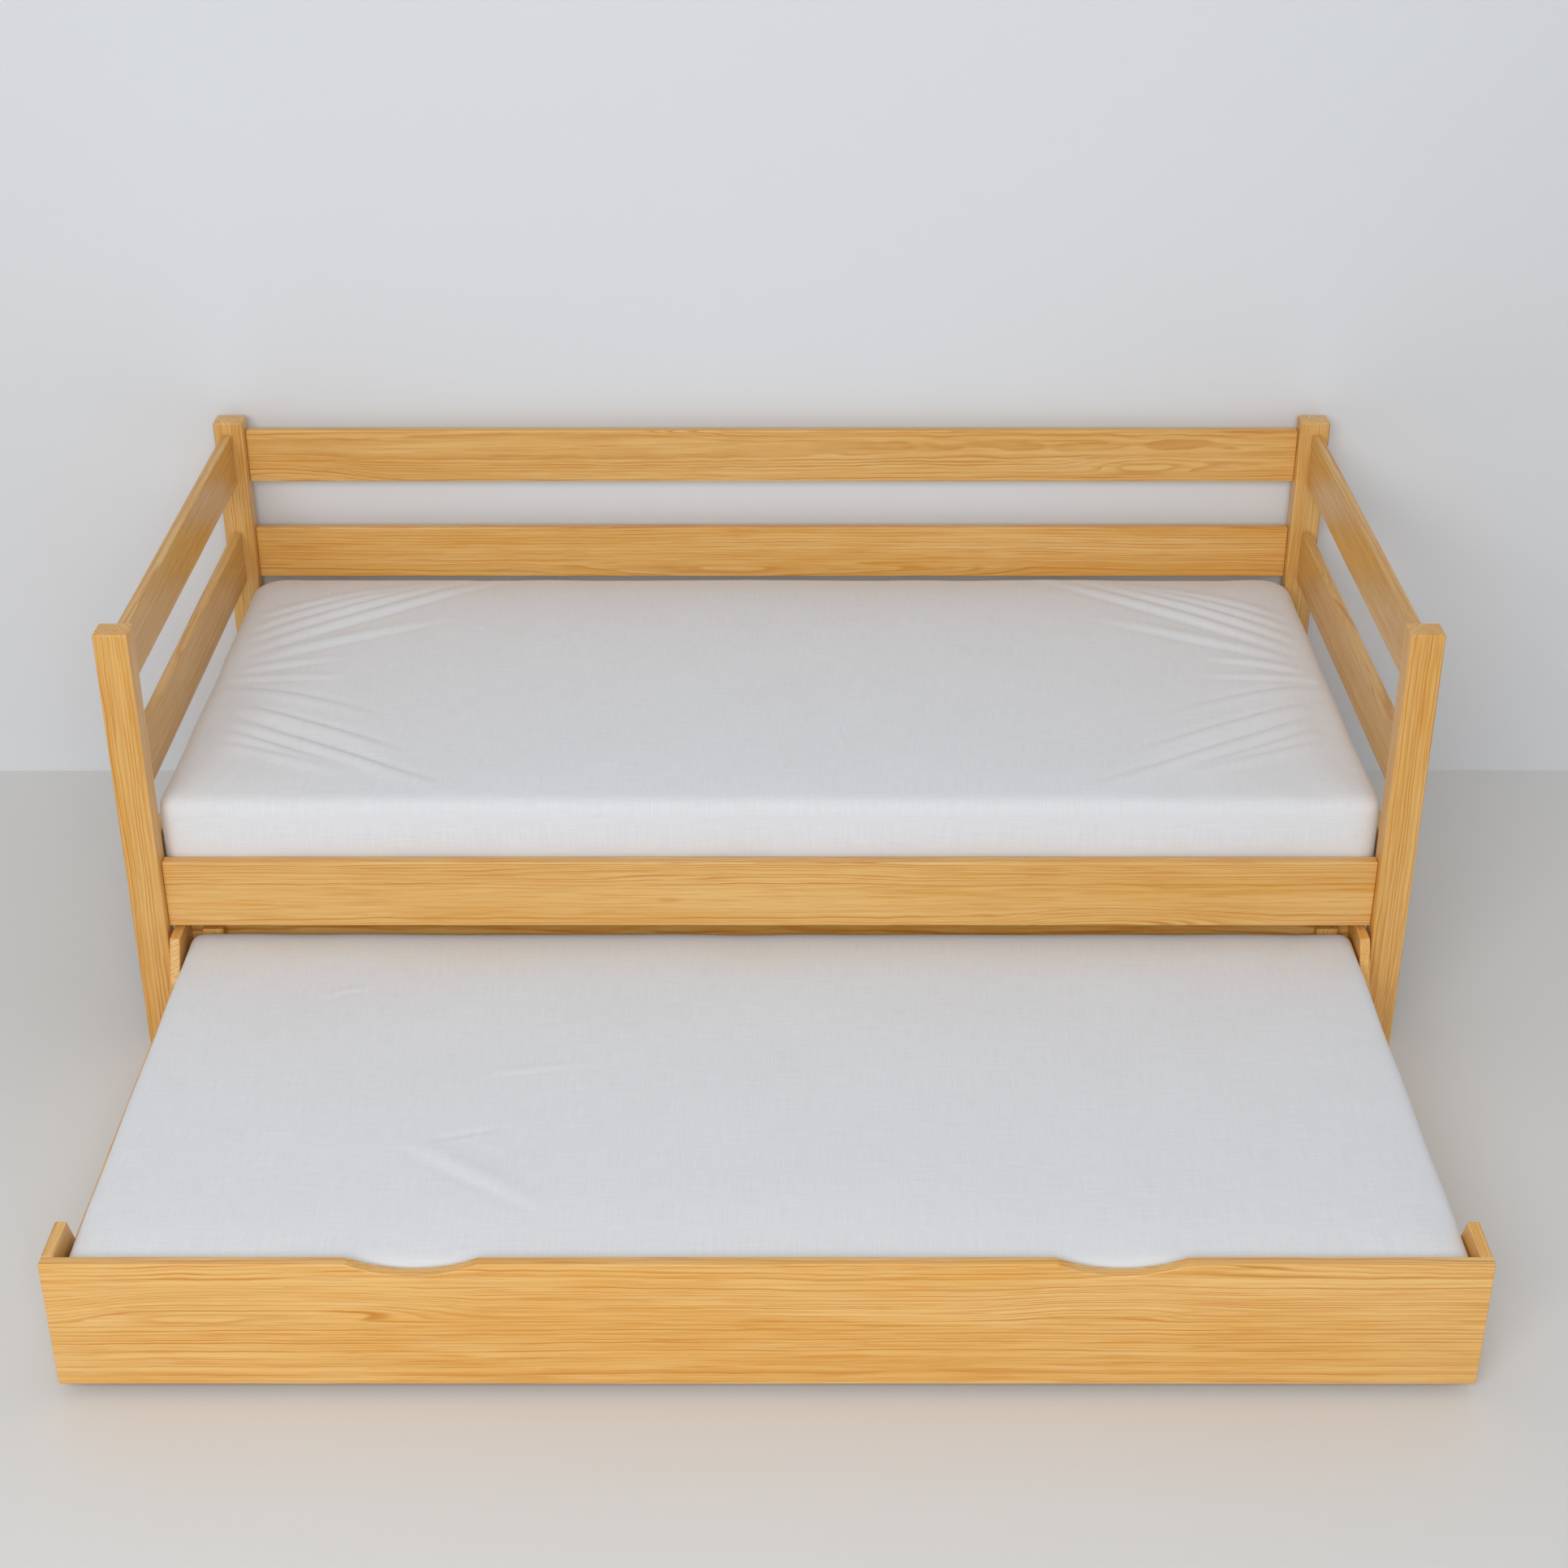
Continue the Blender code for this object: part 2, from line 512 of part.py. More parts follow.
def build_rollers(trundle):
    """Four rollers on steel brackets, screwed to the inside of the side boards."""
    cheek_inner = WHEEL_WIDTH / 2 + HUB_PROUD + BRACKET_SIDE_PLAY
    cheek_outer = cheek_inner + BRACKET_PLATE
    middle_x = TRUNDLE_INNER - GAP - cheek_outer
    plate_bottom = 2 * WHEEL_RADIUS + BRACKET_TOP_PLAY
    wheel_y = {"front": FRONT_BOARD_BACK_Y + WHEEL_INSET, "back": BACK_BOARD_Y - WHEEL_INSET}
    for end, y in wheel_y.items():
        for side, sign in SIDES.items():
            axle_at = Vector((sign * middle_x, y, WHEEL_RADIUS))
            axle_empty = bpy.data.objects.new(f"axle_point_{end}_{side}", None)
            bpy.context.scene.collection.objects.link(axle_empty)
            axle_empty.location = axle_at - trundle.location
            axle_empty.parent = trundle

            name = f"roller_{end}_{side}"
            add_object(name, lathe_mesh(name, wheel_profile()), grey_plastic(name), parent=axle_empty)

            name = f"roller_bracket_{end}_{side}"
            strip = bracket_mesh(name, cheek_inner, cheek_outer, plate_bottom - WHEEL_RADIUS)
            bracket = add_object(name, strip, zinc_steel(name), parent=axle_empty)
            axle = add_object(f"axle_{end}_{side}",
                              cylinder_mesh("axle", AXLE_RADIUS, 2 * cheek_outer - BRACKET_PLATE, 20), None,
                              parent=axle_empty)
            join(bracket, axle)


def bracket_mesh(name, inner, outer, plate_bottom):
    """An upside-down U over the roller, about its axle: two cheeks and a top plate."""
    low = BRACKET_LOW - WHEEL_RADIUS
    top = plate_bottom + BRACKET_PLATE
    points = [(-outer, low), (-inner, low), (-inner, plate_bottom), (inner, plate_bottom), (inner, low),
              (outer, low), (outer, top), (-outer, top)]
    to_xz = Matrix(((1, 0, 0, 0), (0, 0, 1, -BRACKET_HALF_LENGTH), (0, 1, 0, 0), (0, 0, 0, 1)))
    return outline_mesh(name, points, to_xz, 2 * BRACKET_HALF_LENGTH)


def main():
    for obj in list(bpy.data.objects):
        bpy.data.objects.remove(obj, do_unlink=True)

    posts = build_posts()
    build_guard_rails()
    rails = build_bed_rails()
    build_bed_slats()
    build_bed_mattress()
    build_bolts(posts, rails)

    trundle = bpy.data.objects.new("trundle_frame_point", None)
    bpy.context.scene.collection.objects.link(trundle)
    trundle.location = (0, (FRONT_Y + BACK_BOARD_Y + TRUNDLE_BOARD) / 2, 0)
    build_trundle_boards(trundle)
    build_trundle_base(trundle)
    build_trundle_mattress(trundle)
    build_rollers(trundle)


main()
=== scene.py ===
"""Looks of the trundle bed: lacquered pine boards, two mattresses in white cotton, steel and nylon fittings.

Metres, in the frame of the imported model: +X along the bed, +Y from the open side towards the wall, +Z up.
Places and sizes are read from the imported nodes, so each piece here lies where its node lies.
"""

import logging
import math
import random
import zlib
from dataclasses import dataclass, field
from enum import Enum
from typing import Iterable, Sequence

import bmesh
import bpy
import numpy as np
from mathutils import Matrix, Vector


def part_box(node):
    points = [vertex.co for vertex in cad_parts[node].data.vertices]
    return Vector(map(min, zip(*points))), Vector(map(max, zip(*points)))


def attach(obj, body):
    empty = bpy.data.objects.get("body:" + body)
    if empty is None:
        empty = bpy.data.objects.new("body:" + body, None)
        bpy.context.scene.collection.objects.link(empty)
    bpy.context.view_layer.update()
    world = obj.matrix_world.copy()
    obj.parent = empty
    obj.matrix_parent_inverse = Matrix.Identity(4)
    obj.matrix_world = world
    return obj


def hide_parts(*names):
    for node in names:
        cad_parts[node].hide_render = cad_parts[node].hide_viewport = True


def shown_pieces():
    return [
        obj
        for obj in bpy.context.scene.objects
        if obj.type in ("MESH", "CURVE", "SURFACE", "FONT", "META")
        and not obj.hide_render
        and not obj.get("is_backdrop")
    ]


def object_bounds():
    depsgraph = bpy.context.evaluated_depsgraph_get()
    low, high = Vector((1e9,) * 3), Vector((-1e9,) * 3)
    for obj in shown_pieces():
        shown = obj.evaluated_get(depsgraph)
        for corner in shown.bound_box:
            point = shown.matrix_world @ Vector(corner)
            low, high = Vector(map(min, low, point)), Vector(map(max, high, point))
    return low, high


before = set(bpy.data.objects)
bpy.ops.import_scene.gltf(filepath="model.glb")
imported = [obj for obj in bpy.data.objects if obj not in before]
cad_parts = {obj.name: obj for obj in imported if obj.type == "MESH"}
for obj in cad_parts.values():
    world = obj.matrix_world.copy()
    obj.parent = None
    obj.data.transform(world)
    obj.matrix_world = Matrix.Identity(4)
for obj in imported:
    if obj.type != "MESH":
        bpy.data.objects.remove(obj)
CAD_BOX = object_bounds()
LOG = logging.getLogger("trundle_bed")

Point = tuple[float, float]
Color = tuple[float, float, float]
Socket = bpy.types.NodeSocket

# The Mix node's sockets for colours: its factor, A and B, and its result.
MIX_INPUTS = (0, 6, 7)
MIX_RESULT = 2
# The attributes that boards and covers carry for their materials.
LOG_PLACE, BOARD_TONE, EDGE_LAYER, CLOTH_PLACE = "log", "tone", "edge", "cloth"
# Below this length a direction is not divided by its length.
TINY = 1e-9


# ---------------------------------------------------------------- shader tools
class Graph:
    """A shader node tree being built, with short calls for the nodes that the finishes share."""

    def __init__(self, tree: bpy.types.NodeTree) -> None:
        """Args: tree: the material's or group's node tree."""
        self.tree = tree

    def add(self, kind: str, settings: dict | None = None, **inputs: object) -> bpy.types.Node:
        """Adds a node.

        Args:
            kind: the node's type name, without the ShaderNode prefix.
            settings: properties of the node itself.
            **inputs: socket name, with underscores for spaces, to a value or a socket to link.

        Returns:
            The node.
        """
        node = self.tree.nodes.new("ShaderNode" + kind)
        for name, value in (settings or {}).items():
            setattr(node, name, value)
        for name, value in inputs.items():
            self.feed(node.inputs[name.replace("_", " ")], value)
        return node

    def feed(self, socket: Socket, value: object) -> None:
        """Links a socket into another one, or sets its value."""
        if isinstance(value, bpy.types.NodeSocket):
            self.tree.links.new(value, socket)
        elif isinstance(value, (tuple, list)) and len(value) == 3 and socket.type == "RGBA":
            socket.default_value = (*value, 1.0)
        else:
            socket.default_value = value

    def math(self, operation: str, *values: object, clamp: bool = False) -> Socket:
        """One Math node; returns its result."""
        node = self.add("Math", {"operation": operation, "use_clamp": clamp})
        for socket, value in zip(node.inputs, values):
            self.feed(socket, value)
        return node.outputs[0]

    def scaled(self, vector: Socket, scale: Sequence[float]) -> Socket:
        """A vector with each of its parts multiplied by its own factor."""
        node = self.add("VectorMath", {"operation": "MULTIPLY"})
        self.feed(node.inputs[0], vector)
        self.feed(node.inputs[1], tuple(scale))
        return node.outputs[0]

    def noise(self, vector: Socket, scale: float = 1.0, detail: float = 2.0, roughness: float = 0.5) -> Socket:
        """3-D noise from 0 to 1, about 0.5."""
        node = self.add("TexNoise", {"noise_dimensions": "3D"}, Vector=vector, Scale=scale, Detail=detail,
                        Roughness=roughness)
        return node.outputs[0]

    def line_noise(self, value: Socket, scale: float = 1.0, detail: float = 0.0) -> Socket:
        """1-D noise from 0 to 1 along a value."""
        node = self.add("TexNoise", {"noise_dimensions": "1D"}, W=value, Scale=scale, Detail=detail)
        return node.outputs[0]

    def step(self, value: Socket, low: float, high: float) -> Socket:
        """A smooth step: 0 below low and 1 above high, or the other way round if low is above high."""
        settings = {"interpolation_type": "SMOOTHSTEP"}
        if low < high:
            node = self.add("MapRange", settings, Value=value, From_Min=low, From_Max=high)
        else:
            node = self.add("MapRange", settings, Value=value, From_Min=high, From_Max=low, To_Min=1.0, To_Max=0.0)
        return node.outputs[0]

    def mix(self, factor: object, a: object, b: object, blend: str = "MIX") -> Socket:
        """Mixes two colours."""
        node = self.add("Mix", {"data_type": "RGBA", "blend_type": blend, "clamp_factor": True})
        for index, value in zip(MIX_INPUTS, (factor, a, b)):
            self.feed(node.inputs[index], value)
        return node.outputs[MIX_RESULT]

    def tint(self, color: Socket, value: Socket) -> Socket:
        """Multiplies a colour by a value."""
        combined = self.add("CombineColor", Red=value, Green=value, Blue=value)
        return self.mix(1.0, color, combined.outputs[0], "MULTIPLY")

    def place(self, group: bpy.types.NodeTree, **inputs: object) -> bpy.types.Node:
        """Places a node group and feeds its inputs."""
        node = self.tree.nodes.new("ShaderNodeGroup")
        node.node_tree = group
        for name, value in inputs.items():
            self.feed(node.inputs[name.replace("_", " ")], value)
        return node

    def bump(self, height: Socket, distance: float, strength: float) -> Socket:
        """A Bump node; returns the bent normal."""
        return self.add("Bump", Height=height, Distance=distance, Strength=strength).outputs[0]


def open_group(name: str, inputs: dict[str, object], outputs: Iterable[str]) -> tuple[Graph, dict, bpy.types.Node]:
    """Starts a node group.

    Args:
        name: the group's name.
        inputs: input name to its default, a number or a vector.
        outputs: the names of the outputs, which are all values.

    Returns:
        Its graph, its input sockets by name, and its output node.
    """
    tree = bpy.data.node_groups.new(name, "ShaderNodeTree")
    for label, default in inputs.items():
        kind = "NodeSocketVector" if isinstance(default, tuple) else "NodeSocketFloat"
        tree.interface.new_socket(label, in_out="INPUT", socket_type=kind).default_value = default
    for label in outputs:
        tree.interface.new_socket(label, in_out="OUTPUT", socket_type="NodeSocketFloat")
    source = tree.nodes.new("NodeGroupInput")
    sink = tree.nodes.new("NodeGroupOutput")
    return Graph(tree), {label: source.outputs[label] for label in inputs}, sink


def pine_grain_group() -> bpy.types.NodeTree:
    """Growth rings, fibres and resin of a pine log, in the log's own space.

    The Log input is (along the grain, across, across) in metres from the pith, so a board's faces, edges
    and ends are all cut from one solid: stripes and cathedrals along it, arcs on its ends.

    Returns:
        The group, with the masks Latewood, Tone, Fibre and Streak and a Height.
    """
    g, ins, out = open_group(
        "pine_grain",
        {"Log": (0.0, 0.0, 0.0), "Ring Pitch": 0.004, "Wobble": 1.0, "Eyes": 1.0},
        ["Latewood", "Tone", "Fibre", "Streak", "Height"])
    log = ins["Log"]
    split = g.add("SeparateXYZ", Vector=log)
    across = g.math("SQRT", g.math("ADD", g.math("MULTIPLY", split.outputs[1], split.outputs[1]),
                                   g.math("MULTIPLY", split.outputs[2], split.outputs[2])))
    bends = [((0.9, 4.0, 4.0), 0.0130), ((3.4, 15.0, 15.0), 0.0040), ((13.0, 44.0, 44.0), 0.0026)]
    wander = None
    for scale, reach in bends:
        swing = g.math("MULTIPLY", g.math("SUBTRACT", g.noise(g.scaled(log, scale), detail=1.0), 0.5), reach)
        wander = swing if wander is None else g.math("ADD", wander, swing)
    eye = g.step(g.noise(g.scaled(log, (1.5, 15.0, 15.0)), detail=0.0), 0.60, 0.82)
    wander = g.math("MULTIPLY_ADD", eye, g.math("MULTIPLY", ins["Eyes"], 0.013), wander)
    radius = g.math("ADD", across, g.math("MULTIPLY", wander, ins["Wobble"]))
    rings = g.math("DIVIDE", radius, ins["Ring Pitch"])
    uneven = g.math("ADD", rings, g.math("MULTIPLY", g.line_noise(rings, 0.31), 2.4))
    phase = g.math("FRACT", uneven)
    growth = g.math("MULTIPLY", g.step(phase, 0.20, 0.80), g.step(phase, 1.0, 0.86))
    vigour = g.math("MULTIPLY_ADD", g.line_noise(uneven, 0.83), 1.9, -0.18, clamp=True)
    patches = g.noise(g.scaled(log, (6.0, 110.0, 110.0)), detail=3.0)
    patchy = g.math("MULTIPLY_ADD", patches, 2.6, -0.50, clamp=True)
    latewood = g.math("MULTIPLY", g.math("MULTIPLY", growth, vigour), patchy)
    fine = g.noise(g.scaled(log, (18.0, 640.0, 640.0)), detail=3.0, roughness=0.65)
    coarse = g.noise(g.scaled(log, (7.0, 210.0, 210.0)), detail=2.0, roughness=0.6)
    fibre = g.math("ADD", g.math("MULTIPLY", fine, 0.5), g.math("MULTIPLY", coarse, 0.5))
    tone = g.noise(g.scaled(log, (1.4, 16.0, 16.0)), detail=3.0, roughness=0.6)
    streak_field = g.noise(g.scaled(log, (7.0, 300.0, 300.0)), detail=2.0)
    streak = g.math("MULTIPLY", g.step(streak_field, 0.57, 0.74), g.step(tone, 0.38, 0.60))
    thread = g.noise(g.scaled(log, (7.0, 330.0, 330.0)), detail=3.0, roughness=0.6)
    latewood = g.math("MAXIMUM", latewood, g.math("MULTIPLY", g.step(thread, 0.44, 0.74), 0.60))
    height = g.math("ADD", g.math("MULTIPLY", fibre, 0.35), g.math("MULTIPLY", latewood, 0.65))
    for label, socket in (("Latewood", latewood), ("Tone", tone), ("Fibre", fibre), ("Streak", streak),
                          ("Height", height)):
        g.feed(out.inputs[label], socket)
    return g.tree


def slub_weave_group() -> bpy.types.NodeTree:
    """Plain weave with uneven, slubby threads, in world-sized cells.

    Returns:
        The group, with a Height and a Slub mask of the thicker threads.
    """
    g, ins, out = open_group("slub_weave", {"Cloth": (0.0, 0.0, 0.0), "Threads": 900.0}, ["Height", "Slub"])
    split = g.add("SeparateXYZ", Vector=ins["Cloth"])
    waves = [g.math("SINE", g.math("MULTIPLY", split.outputs[axis], g.math("MULTIPLY", ins["Threads"], math.pi)))
             for axis in (0, 1)]
    crossing = g.math("MULTIPLY", waves[0], waves[1])
    warp = g.noise(g.scaled(ins["Cloth"], (620.0, 16.0, 620.0)), detail=3.0, roughness=0.6)
    weft = g.noise(g.scaled(ins["Cloth"], (16.0, 620.0, 16.0)), detail=3.0, roughness=0.6)
    slub = g.math("ADD", g.math("MULTIPLY", warp, 0.5), g.math("MULTIPLY", weft, 0.5))
    height = g.math("ADD", g.math("MULTIPLY", crossing, 0.10), slub)
    g.feed(out.inputs["Height"], height)
    g.feed(out.inputs["Slub"], slub)
    return g.tree


def smudge_and_highlight_group() -> bpy.types.NodeTree:
    """Where hands and dust have left smudges, and a painted highlight that lightens rounded edges in patches.

    Returns:
        The group, with a Smudge mask and a mask of painted highlight along rounded edges.
    """
    g, ins, out = open_group("handling", {"Place": (0.0, 0.0, 0.0), "Edge": 0.0}, ["Smudge", "Worn"])
    cloud = g.noise(ins["Place"], scale=9.0, detail=4.0, roughness=0.6)
    fine = g.noise(ins["Place"], scale=60.0, detail=2.0)
    g.feed(out.inputs["Smudge"], g.step(cloud, 0.42, 0.68))
    # Painted highlight: a patchy mask along the rounded edges, which lightens them.
    g.feed(out.inputs["Worn"], g.math("MULTIPLY", ins["Edge"], g.step(fine, 0.25, 0.75)))
    return g.tree


# ---------------------------------------------------------------- finishes
class Groups:
    """The node groups that the finishes share, each built once."""

    def __init__(self) -> None:
        """Builds the groups."""
        self.grain = pine_grain_group()
        self.weave = slub_weave_group()
        self.handling = smudge_and_highlight_group()


def new_material(name: str) -> tuple[bpy.types.Material, Graph, bpy.types.Node]:
    """A material with a Principled shader; returns it, its graph and the shader."""
    material = bpy.data.materials.new(name)
    material.use_nodes = True
    shader = material.node_tree.nodes["Principled BSDF"]
    return material, Graph(material.node_tree), shader


@dataclass(frozen=True)
class PineFinish:
    """Pine under a coat of lacquer, or bare."""

    name: str
    early: Color
    late: Color
    amber: Color
    resin: Color
    contrast: float = 1.0
    amber_share: float = 0.55
    pitch: float = 0.0034
    wobble: float = 1.0
    roughness: float = 0.38
    coat: float = 0.25
    relief: float = 0.00005

    def build(self, groups: Groups) -> bpy.types.Material:
        """Makes the material.

        Args:
            groups: the shared node groups.

        Returns:
            The material, which reads the boards' "log", "edge" and "tone" attributes.
        """
        material, g, shader = new_material(self.name)
        log = g.add("Attribute", {"attribute_name": LOG_PLACE}).outputs["Vector"]
        edge = g.add("Attribute", {"attribute_name": EDGE_LAYER}).outputs["Fac"]
        board_tone = g.add("Attribute", {"attribute_name": BOARD_TONE}).outputs["Fac"]
        place = g.add("TexCoord").outputs["Object"]
        grain = g.place(groups.grain, Log=log, Ring_Pitch=self.pitch, Wobble=self.wobble).outputs
        handling = g.place(groups.handling, Place=place, Edge=edge).outputs
        warmth = g.math("MULTIPLY", g.step(grain["Tone"], 0.36, 0.70), self.amber_share)
        warmth = g.math("MULTIPLY_ADD", g.step(grain["Fibre"], 0.38, 0.66), 0.45, warmth, clamp=True)
        color = g.mix(warmth, self.early, self.amber)
        color = g.mix(g.math("MULTIPLY", grain["Latewood"], self.contrast), color, self.late)
        color = g.mix(g.math("MULTIPLY", grain["Streak"], 0.75), color, self.resin)
        shade = g.math("MULTIPLY_ADD", grain["Fibre"], 0.20, 0.90)
        # The board's tone: drawn at random for most boards, and set low on the side guard rails as painted shade.
        shade = g.math("MULTIPLY", shade, g.math("MULTIPLY_ADD", board_tone, 0.16, 0.92))
        # Painted highlight: the rounded edges are lightened a little, in patches.
        shade = g.math("MULTIPLY_ADD", handling["Worn"], 0.05, shade)
        g.feed(shader.inputs["Base Color"], g.tint(color, shade))
        rough = g.math("MULTIPLY_ADD", grain["Fibre"], 0.12, self.roughness - 0.06)
        rough = g.math("MULTIPLY_ADD", handling["Smudge"], 0.07, rough)
        g.feed(shader.inputs["Roughness"], rough)
        g.feed(shader.inputs["Coat Weight"], self.coat)
        g.feed(shader.inputs["Coat Roughness"], 0.22)
        g.feed(shader.inputs["Normal"], g.bump(grain["Height"], self.relief, 0.55))
        return material


@dataclass(frozen=True)
class CottonFinish:
    """A white sheet of slubby cotton."""

    name: str
    color: Color
    shadow: Color
    threads: float = 900.0
    relief: float = 0.00055

    def build(self, groups: Groups) -> bpy.types.Material:
        """Makes the material.

        Args:
            groups: the shared node groups.

        Returns:
            The material, which reads the mattress's "cloth" attribute.
        """
        material, g, shader = new_material(self.name)
        cloth = g.add("Attribute", {"attribute_name": CLOTH_PLACE}).outputs["Vector"]
        weave = g.place(groups.weave, Cloth=cloth, Threads=self.threads).outputs
        color = g.mix(g.step(weave["Slub"], 0.64, 0.36), self.color, self.shadow)
        g.feed(shader.inputs["Base Color"], color)
        g.feed(shader.inputs["Roughness"], 0.92)
        g.feed(shader.inputs["Sheen Weight"], 0.18)
        g.feed(shader.inputs["Sheen Roughness"], 0.45)
        g.feed(shader.inputs["Normal"], g.bump(weave["Height"], self.relief, 0.5))
        return material


@dataclass(frozen=True)
class SteelFinish:
    """Zinc-plated steel with a brushed, slightly clouded surface."""

    name: str
    bright: Color
    dull: Color
    roughness: float = 0.32

    def build(self, groups: Groups) -> bpy.types.Material:
        """Makes the material from the shared node groups; returns it."""
        material, g, shader = new_material(self.name)
        place = g.add("TexCoord").outputs["Object"]
        smudge = g.place(groups.handling, Place=g.scaled(place, (6.0, 6.0, 6.0))).outputs["Smudge"]
        brushed = g.noise(g.scaled(place, (60.0, 2600.0, 2600.0)), detail=2.0)
        g.feed(shader.inputs["Base Color"], g.mix(smudge, self.bright, self.dull))
        g.feed(shader.inputs["Metallic"], 1.0)
        g.feed(shader.inputs["Roughness"], g.math("MULTIPLY_ADD", brushed, 0.18, self.roughness - 0.06))
        g.feed(shader.inputs["Normal"], g.bump(brushed, 0.00003, 0.4))
        return material


@dataclass(frozen=True)
class NylonFinish:
    """Moulded nylon with a fine eroded grain, scuffed on the tread."""

    name: str
    color: Color
    scuff: Color
    roughness: float = 0.46

    def build(self, groups: Groups) -> bpy.types.Material:
        """Makes the material from the shared node groups; returns it."""
        material, g, shader = new_material(self.name)
        place = g.add("TexCoord").outputs["Object"]
        smudge = g.place(groups.handling, Place=g.scaled(place, (8.0, 8.0, 8.0))).outputs["Smudge"]
        grain = g.noise(place, scale=1500.0, detail=2.0)
        g.feed(shader.inputs["Base Color"], g.mix(g.math("MULTIPLY", smudge, 0.5), self.color, self.scuff))
        g.feed(shader.inputs["Roughness"], g.math("MULTIPLY_ADD", grain, 0.2, self.roughness - 0.1))
        g.feed(shader.inputs["Normal"], g.bump(grain, 0.00006, 0.5))
        return material


@dataclass
class Finishes:
    """Every finish on the bed, as built materials."""

    groups: Groups = field(default_factory=Groups)

    def __post_init__(self) -> None:
        """Builds the materials."""
        honey = PineFinish("lacquered_pine", early=(0.868, 0.548, 0.197), late=(0.612, 0.240, 0.018),
                           amber=(0.758, 0.388, 0.070), resin=(0.62, 0.245, 0.017))
        raw = PineFinish("bare_pine", early=(0.80, 0.57, 0.30), late=(0.52, 0.27, 0.09), amber=(0.74, 0.47, 0.21),
                         resin=(0.56, 0.26, 0.07), roughness=0.62, coat=0.0)
        cotton = CottonFinish("white_cotton", color=(0.835, 0.845, 0.868), shadow=(0.770, 0.780, 0.802))
        ticking = CottonFinish("grey_ticking", color=(0.62, 0.62, 0.61), shadow=(0.50, 0.50, 0.50), threads=420.0)
        steel = SteelFinish("zinc_steel", bright=(0.62, 0.63, 0.65), dull=(0.47, 0.48, 0.50))
        nylon = NylonFinish("grey_nylon", color=(0.055, 0.058, 0.062), scuff=(0.12, 0.12, 0.12))
        self.honey = honey.build(self.groups)
        self.raw = raw.build(self.groups)
        self.cotton = cotton.build(self.groups)
        self.ticking = ticking.build(self.groups)
        self.steel = steel.build(self.groups)
        self.nylon = nylon.build(self.groups)


# ---------------------------------------------------------------- meshes
def rounded_box(low: Sequence[float], high: Sequence[float], edge: float, segments: int = 4) -> bmesh.types.BMesh:
    """A box between two corners with its edges rounded.

    Args:
        low: its lowest corner.
        high: its highest corner.
        edge: the width of the rounding.
        segments: steps in the rounding.

    Returns:
        The bmesh, with the rounded edges marked in its "edge" layer.
    """
    bm = bmesh.new()
    bmesh.ops.create_cube(bm, size=1.0)
    size = [b - a for a, b in zip(low, high)]
    middle = [(a + b) / 2 for a, b in zip(low, high)]
    bmesh.ops.transform(bm, matrix=Matrix.Translation(middle) @ Matrix.Diagonal((*size, 1.0)), verts=bm.verts)
    return round_edges(bm, edge, segments)


def prism(outline: Sequence[Point], axis: int, low: float, high: float, edge: float,
          segments: int = 4) -> bmesh.types.BMesh:
    """An outline given a thickness.

    Args:
        outline: its corners in order, in the two axes across the thickness, lower axis first.
        axis: the axis of the thickness.
        low: where the thickness starts.
        high: where it ends.
        edge: the width of the rounding of its sharp edges.
        segments: steps in the rounding.

    Returns:
        The bmesh, with the rounded edges marked in its "edge" layer.
    """
    bm = bmesh.new()
    rims = []
    for level in (low, high):
        rim = []
        for point in outline:
            place = list(point)
            place.insert(axis, level)
            rim.append(bm.verts.new(place))
        rims.append(rim)
    bm.faces.new(rims[0])
    bm.faces.new(rims[1])
    count = len(outline)
    for i in range(count):
        j = (i + 1) % count
        bm.faces.new((rims[0][i], rims[0][j], rims[1][j], rims[1][i]))
    bmesh.ops.recalc_face_normals(bm, faces=bm.faces)
    return round_edges(bm, edge, segments)


def round_edges(bm: bmesh.types.BMesh, width: float, segments: int, sharp: float = 30.0) -> bmesh.types.BMesh:
    """Rounds every edge sharper than an angle, marks it in the "edge" layer, and returns the bmesh."""
    layer = bm.verts.layers.float.new(EDGE_LAYER)
    edges = [edge for edge in bm.edges if edge.calc_face_angle(0.0) > math.radians(sharp)]
    made = set(bmesh.ops.bevel(bm, geom=edges, offset=width, offset_type="OFFSET", segments=segments, profile=0.5,
                               affect="EDGES", clamp_overlap=True)["faces"])
    for vert in bm.verts:
        vert[layer] = 1.0 if all(face in made for face in vert.link_faces) else 0.0
    return bm


def lathe(profile: Sequence[Point], axis: int, center: Sequence[float], segments: int = 48,
          ribs: int = 0, rib_zone: tuple[int, int] = (0, 0), rib_depth: float = 0.0) -> bmesh.types.BMesh:
    """A profile turned about an axis.

    Args:
        profile: (along the axis, radius) points; a radius of 0 closes an end.
        axis: the turning axis.
        center: a point of it, from which the profile's first number is measured.
        segments: steps round.
        ribs: how many radial ribs stand in the rib zone.
        rib_zone: the first and last profile points that the ribs lift.
        rib_depth: how far they stand up, along the axis towards the profile's ends.

    Returns:
        The closed bmesh.
    """
    bm = bmesh.new()
    middle = sum(along for along, _ in profile) / len(profile)
    rows = []
    for index, (along, radius) in enumerate(profile):
        if radius == 0.0:
            rows.append([turned(bm, axis, center, along, 0.0, 0.0)])
            continue
        row = []
        for step in range(segments):
            angle = 2 * math.pi * step / segments
            lift = 0.0
            mirrored = len(profile) - 1 - index
            if ribs and (rib_zone[0] <= index <= rib_zone[1] or rib_zone[0] <= mirrored <= rib_zone[1]):
                crest = max(0.0, math.cos(angle * ribs)) ** 6
                lift = rib_depth * crest * (1 if along > middle else -1)
            row.append(turned(bm, axis, center, along + lift, radius, angle))
        rows.append(row)
    for first, second in zip(rows, rows[1:]):
        for step in range(segments):
            after = (step + 1) % segments
            corners = [first[step % len(first)], first[after % len(first)], second[after % len(second)],
                       second[step % len(second)]]
            bm.faces.new(list(dict.fromkeys(corners)))
    bmesh.ops.recalc_face_normals(bm, faces=bm.faces)
    return bm


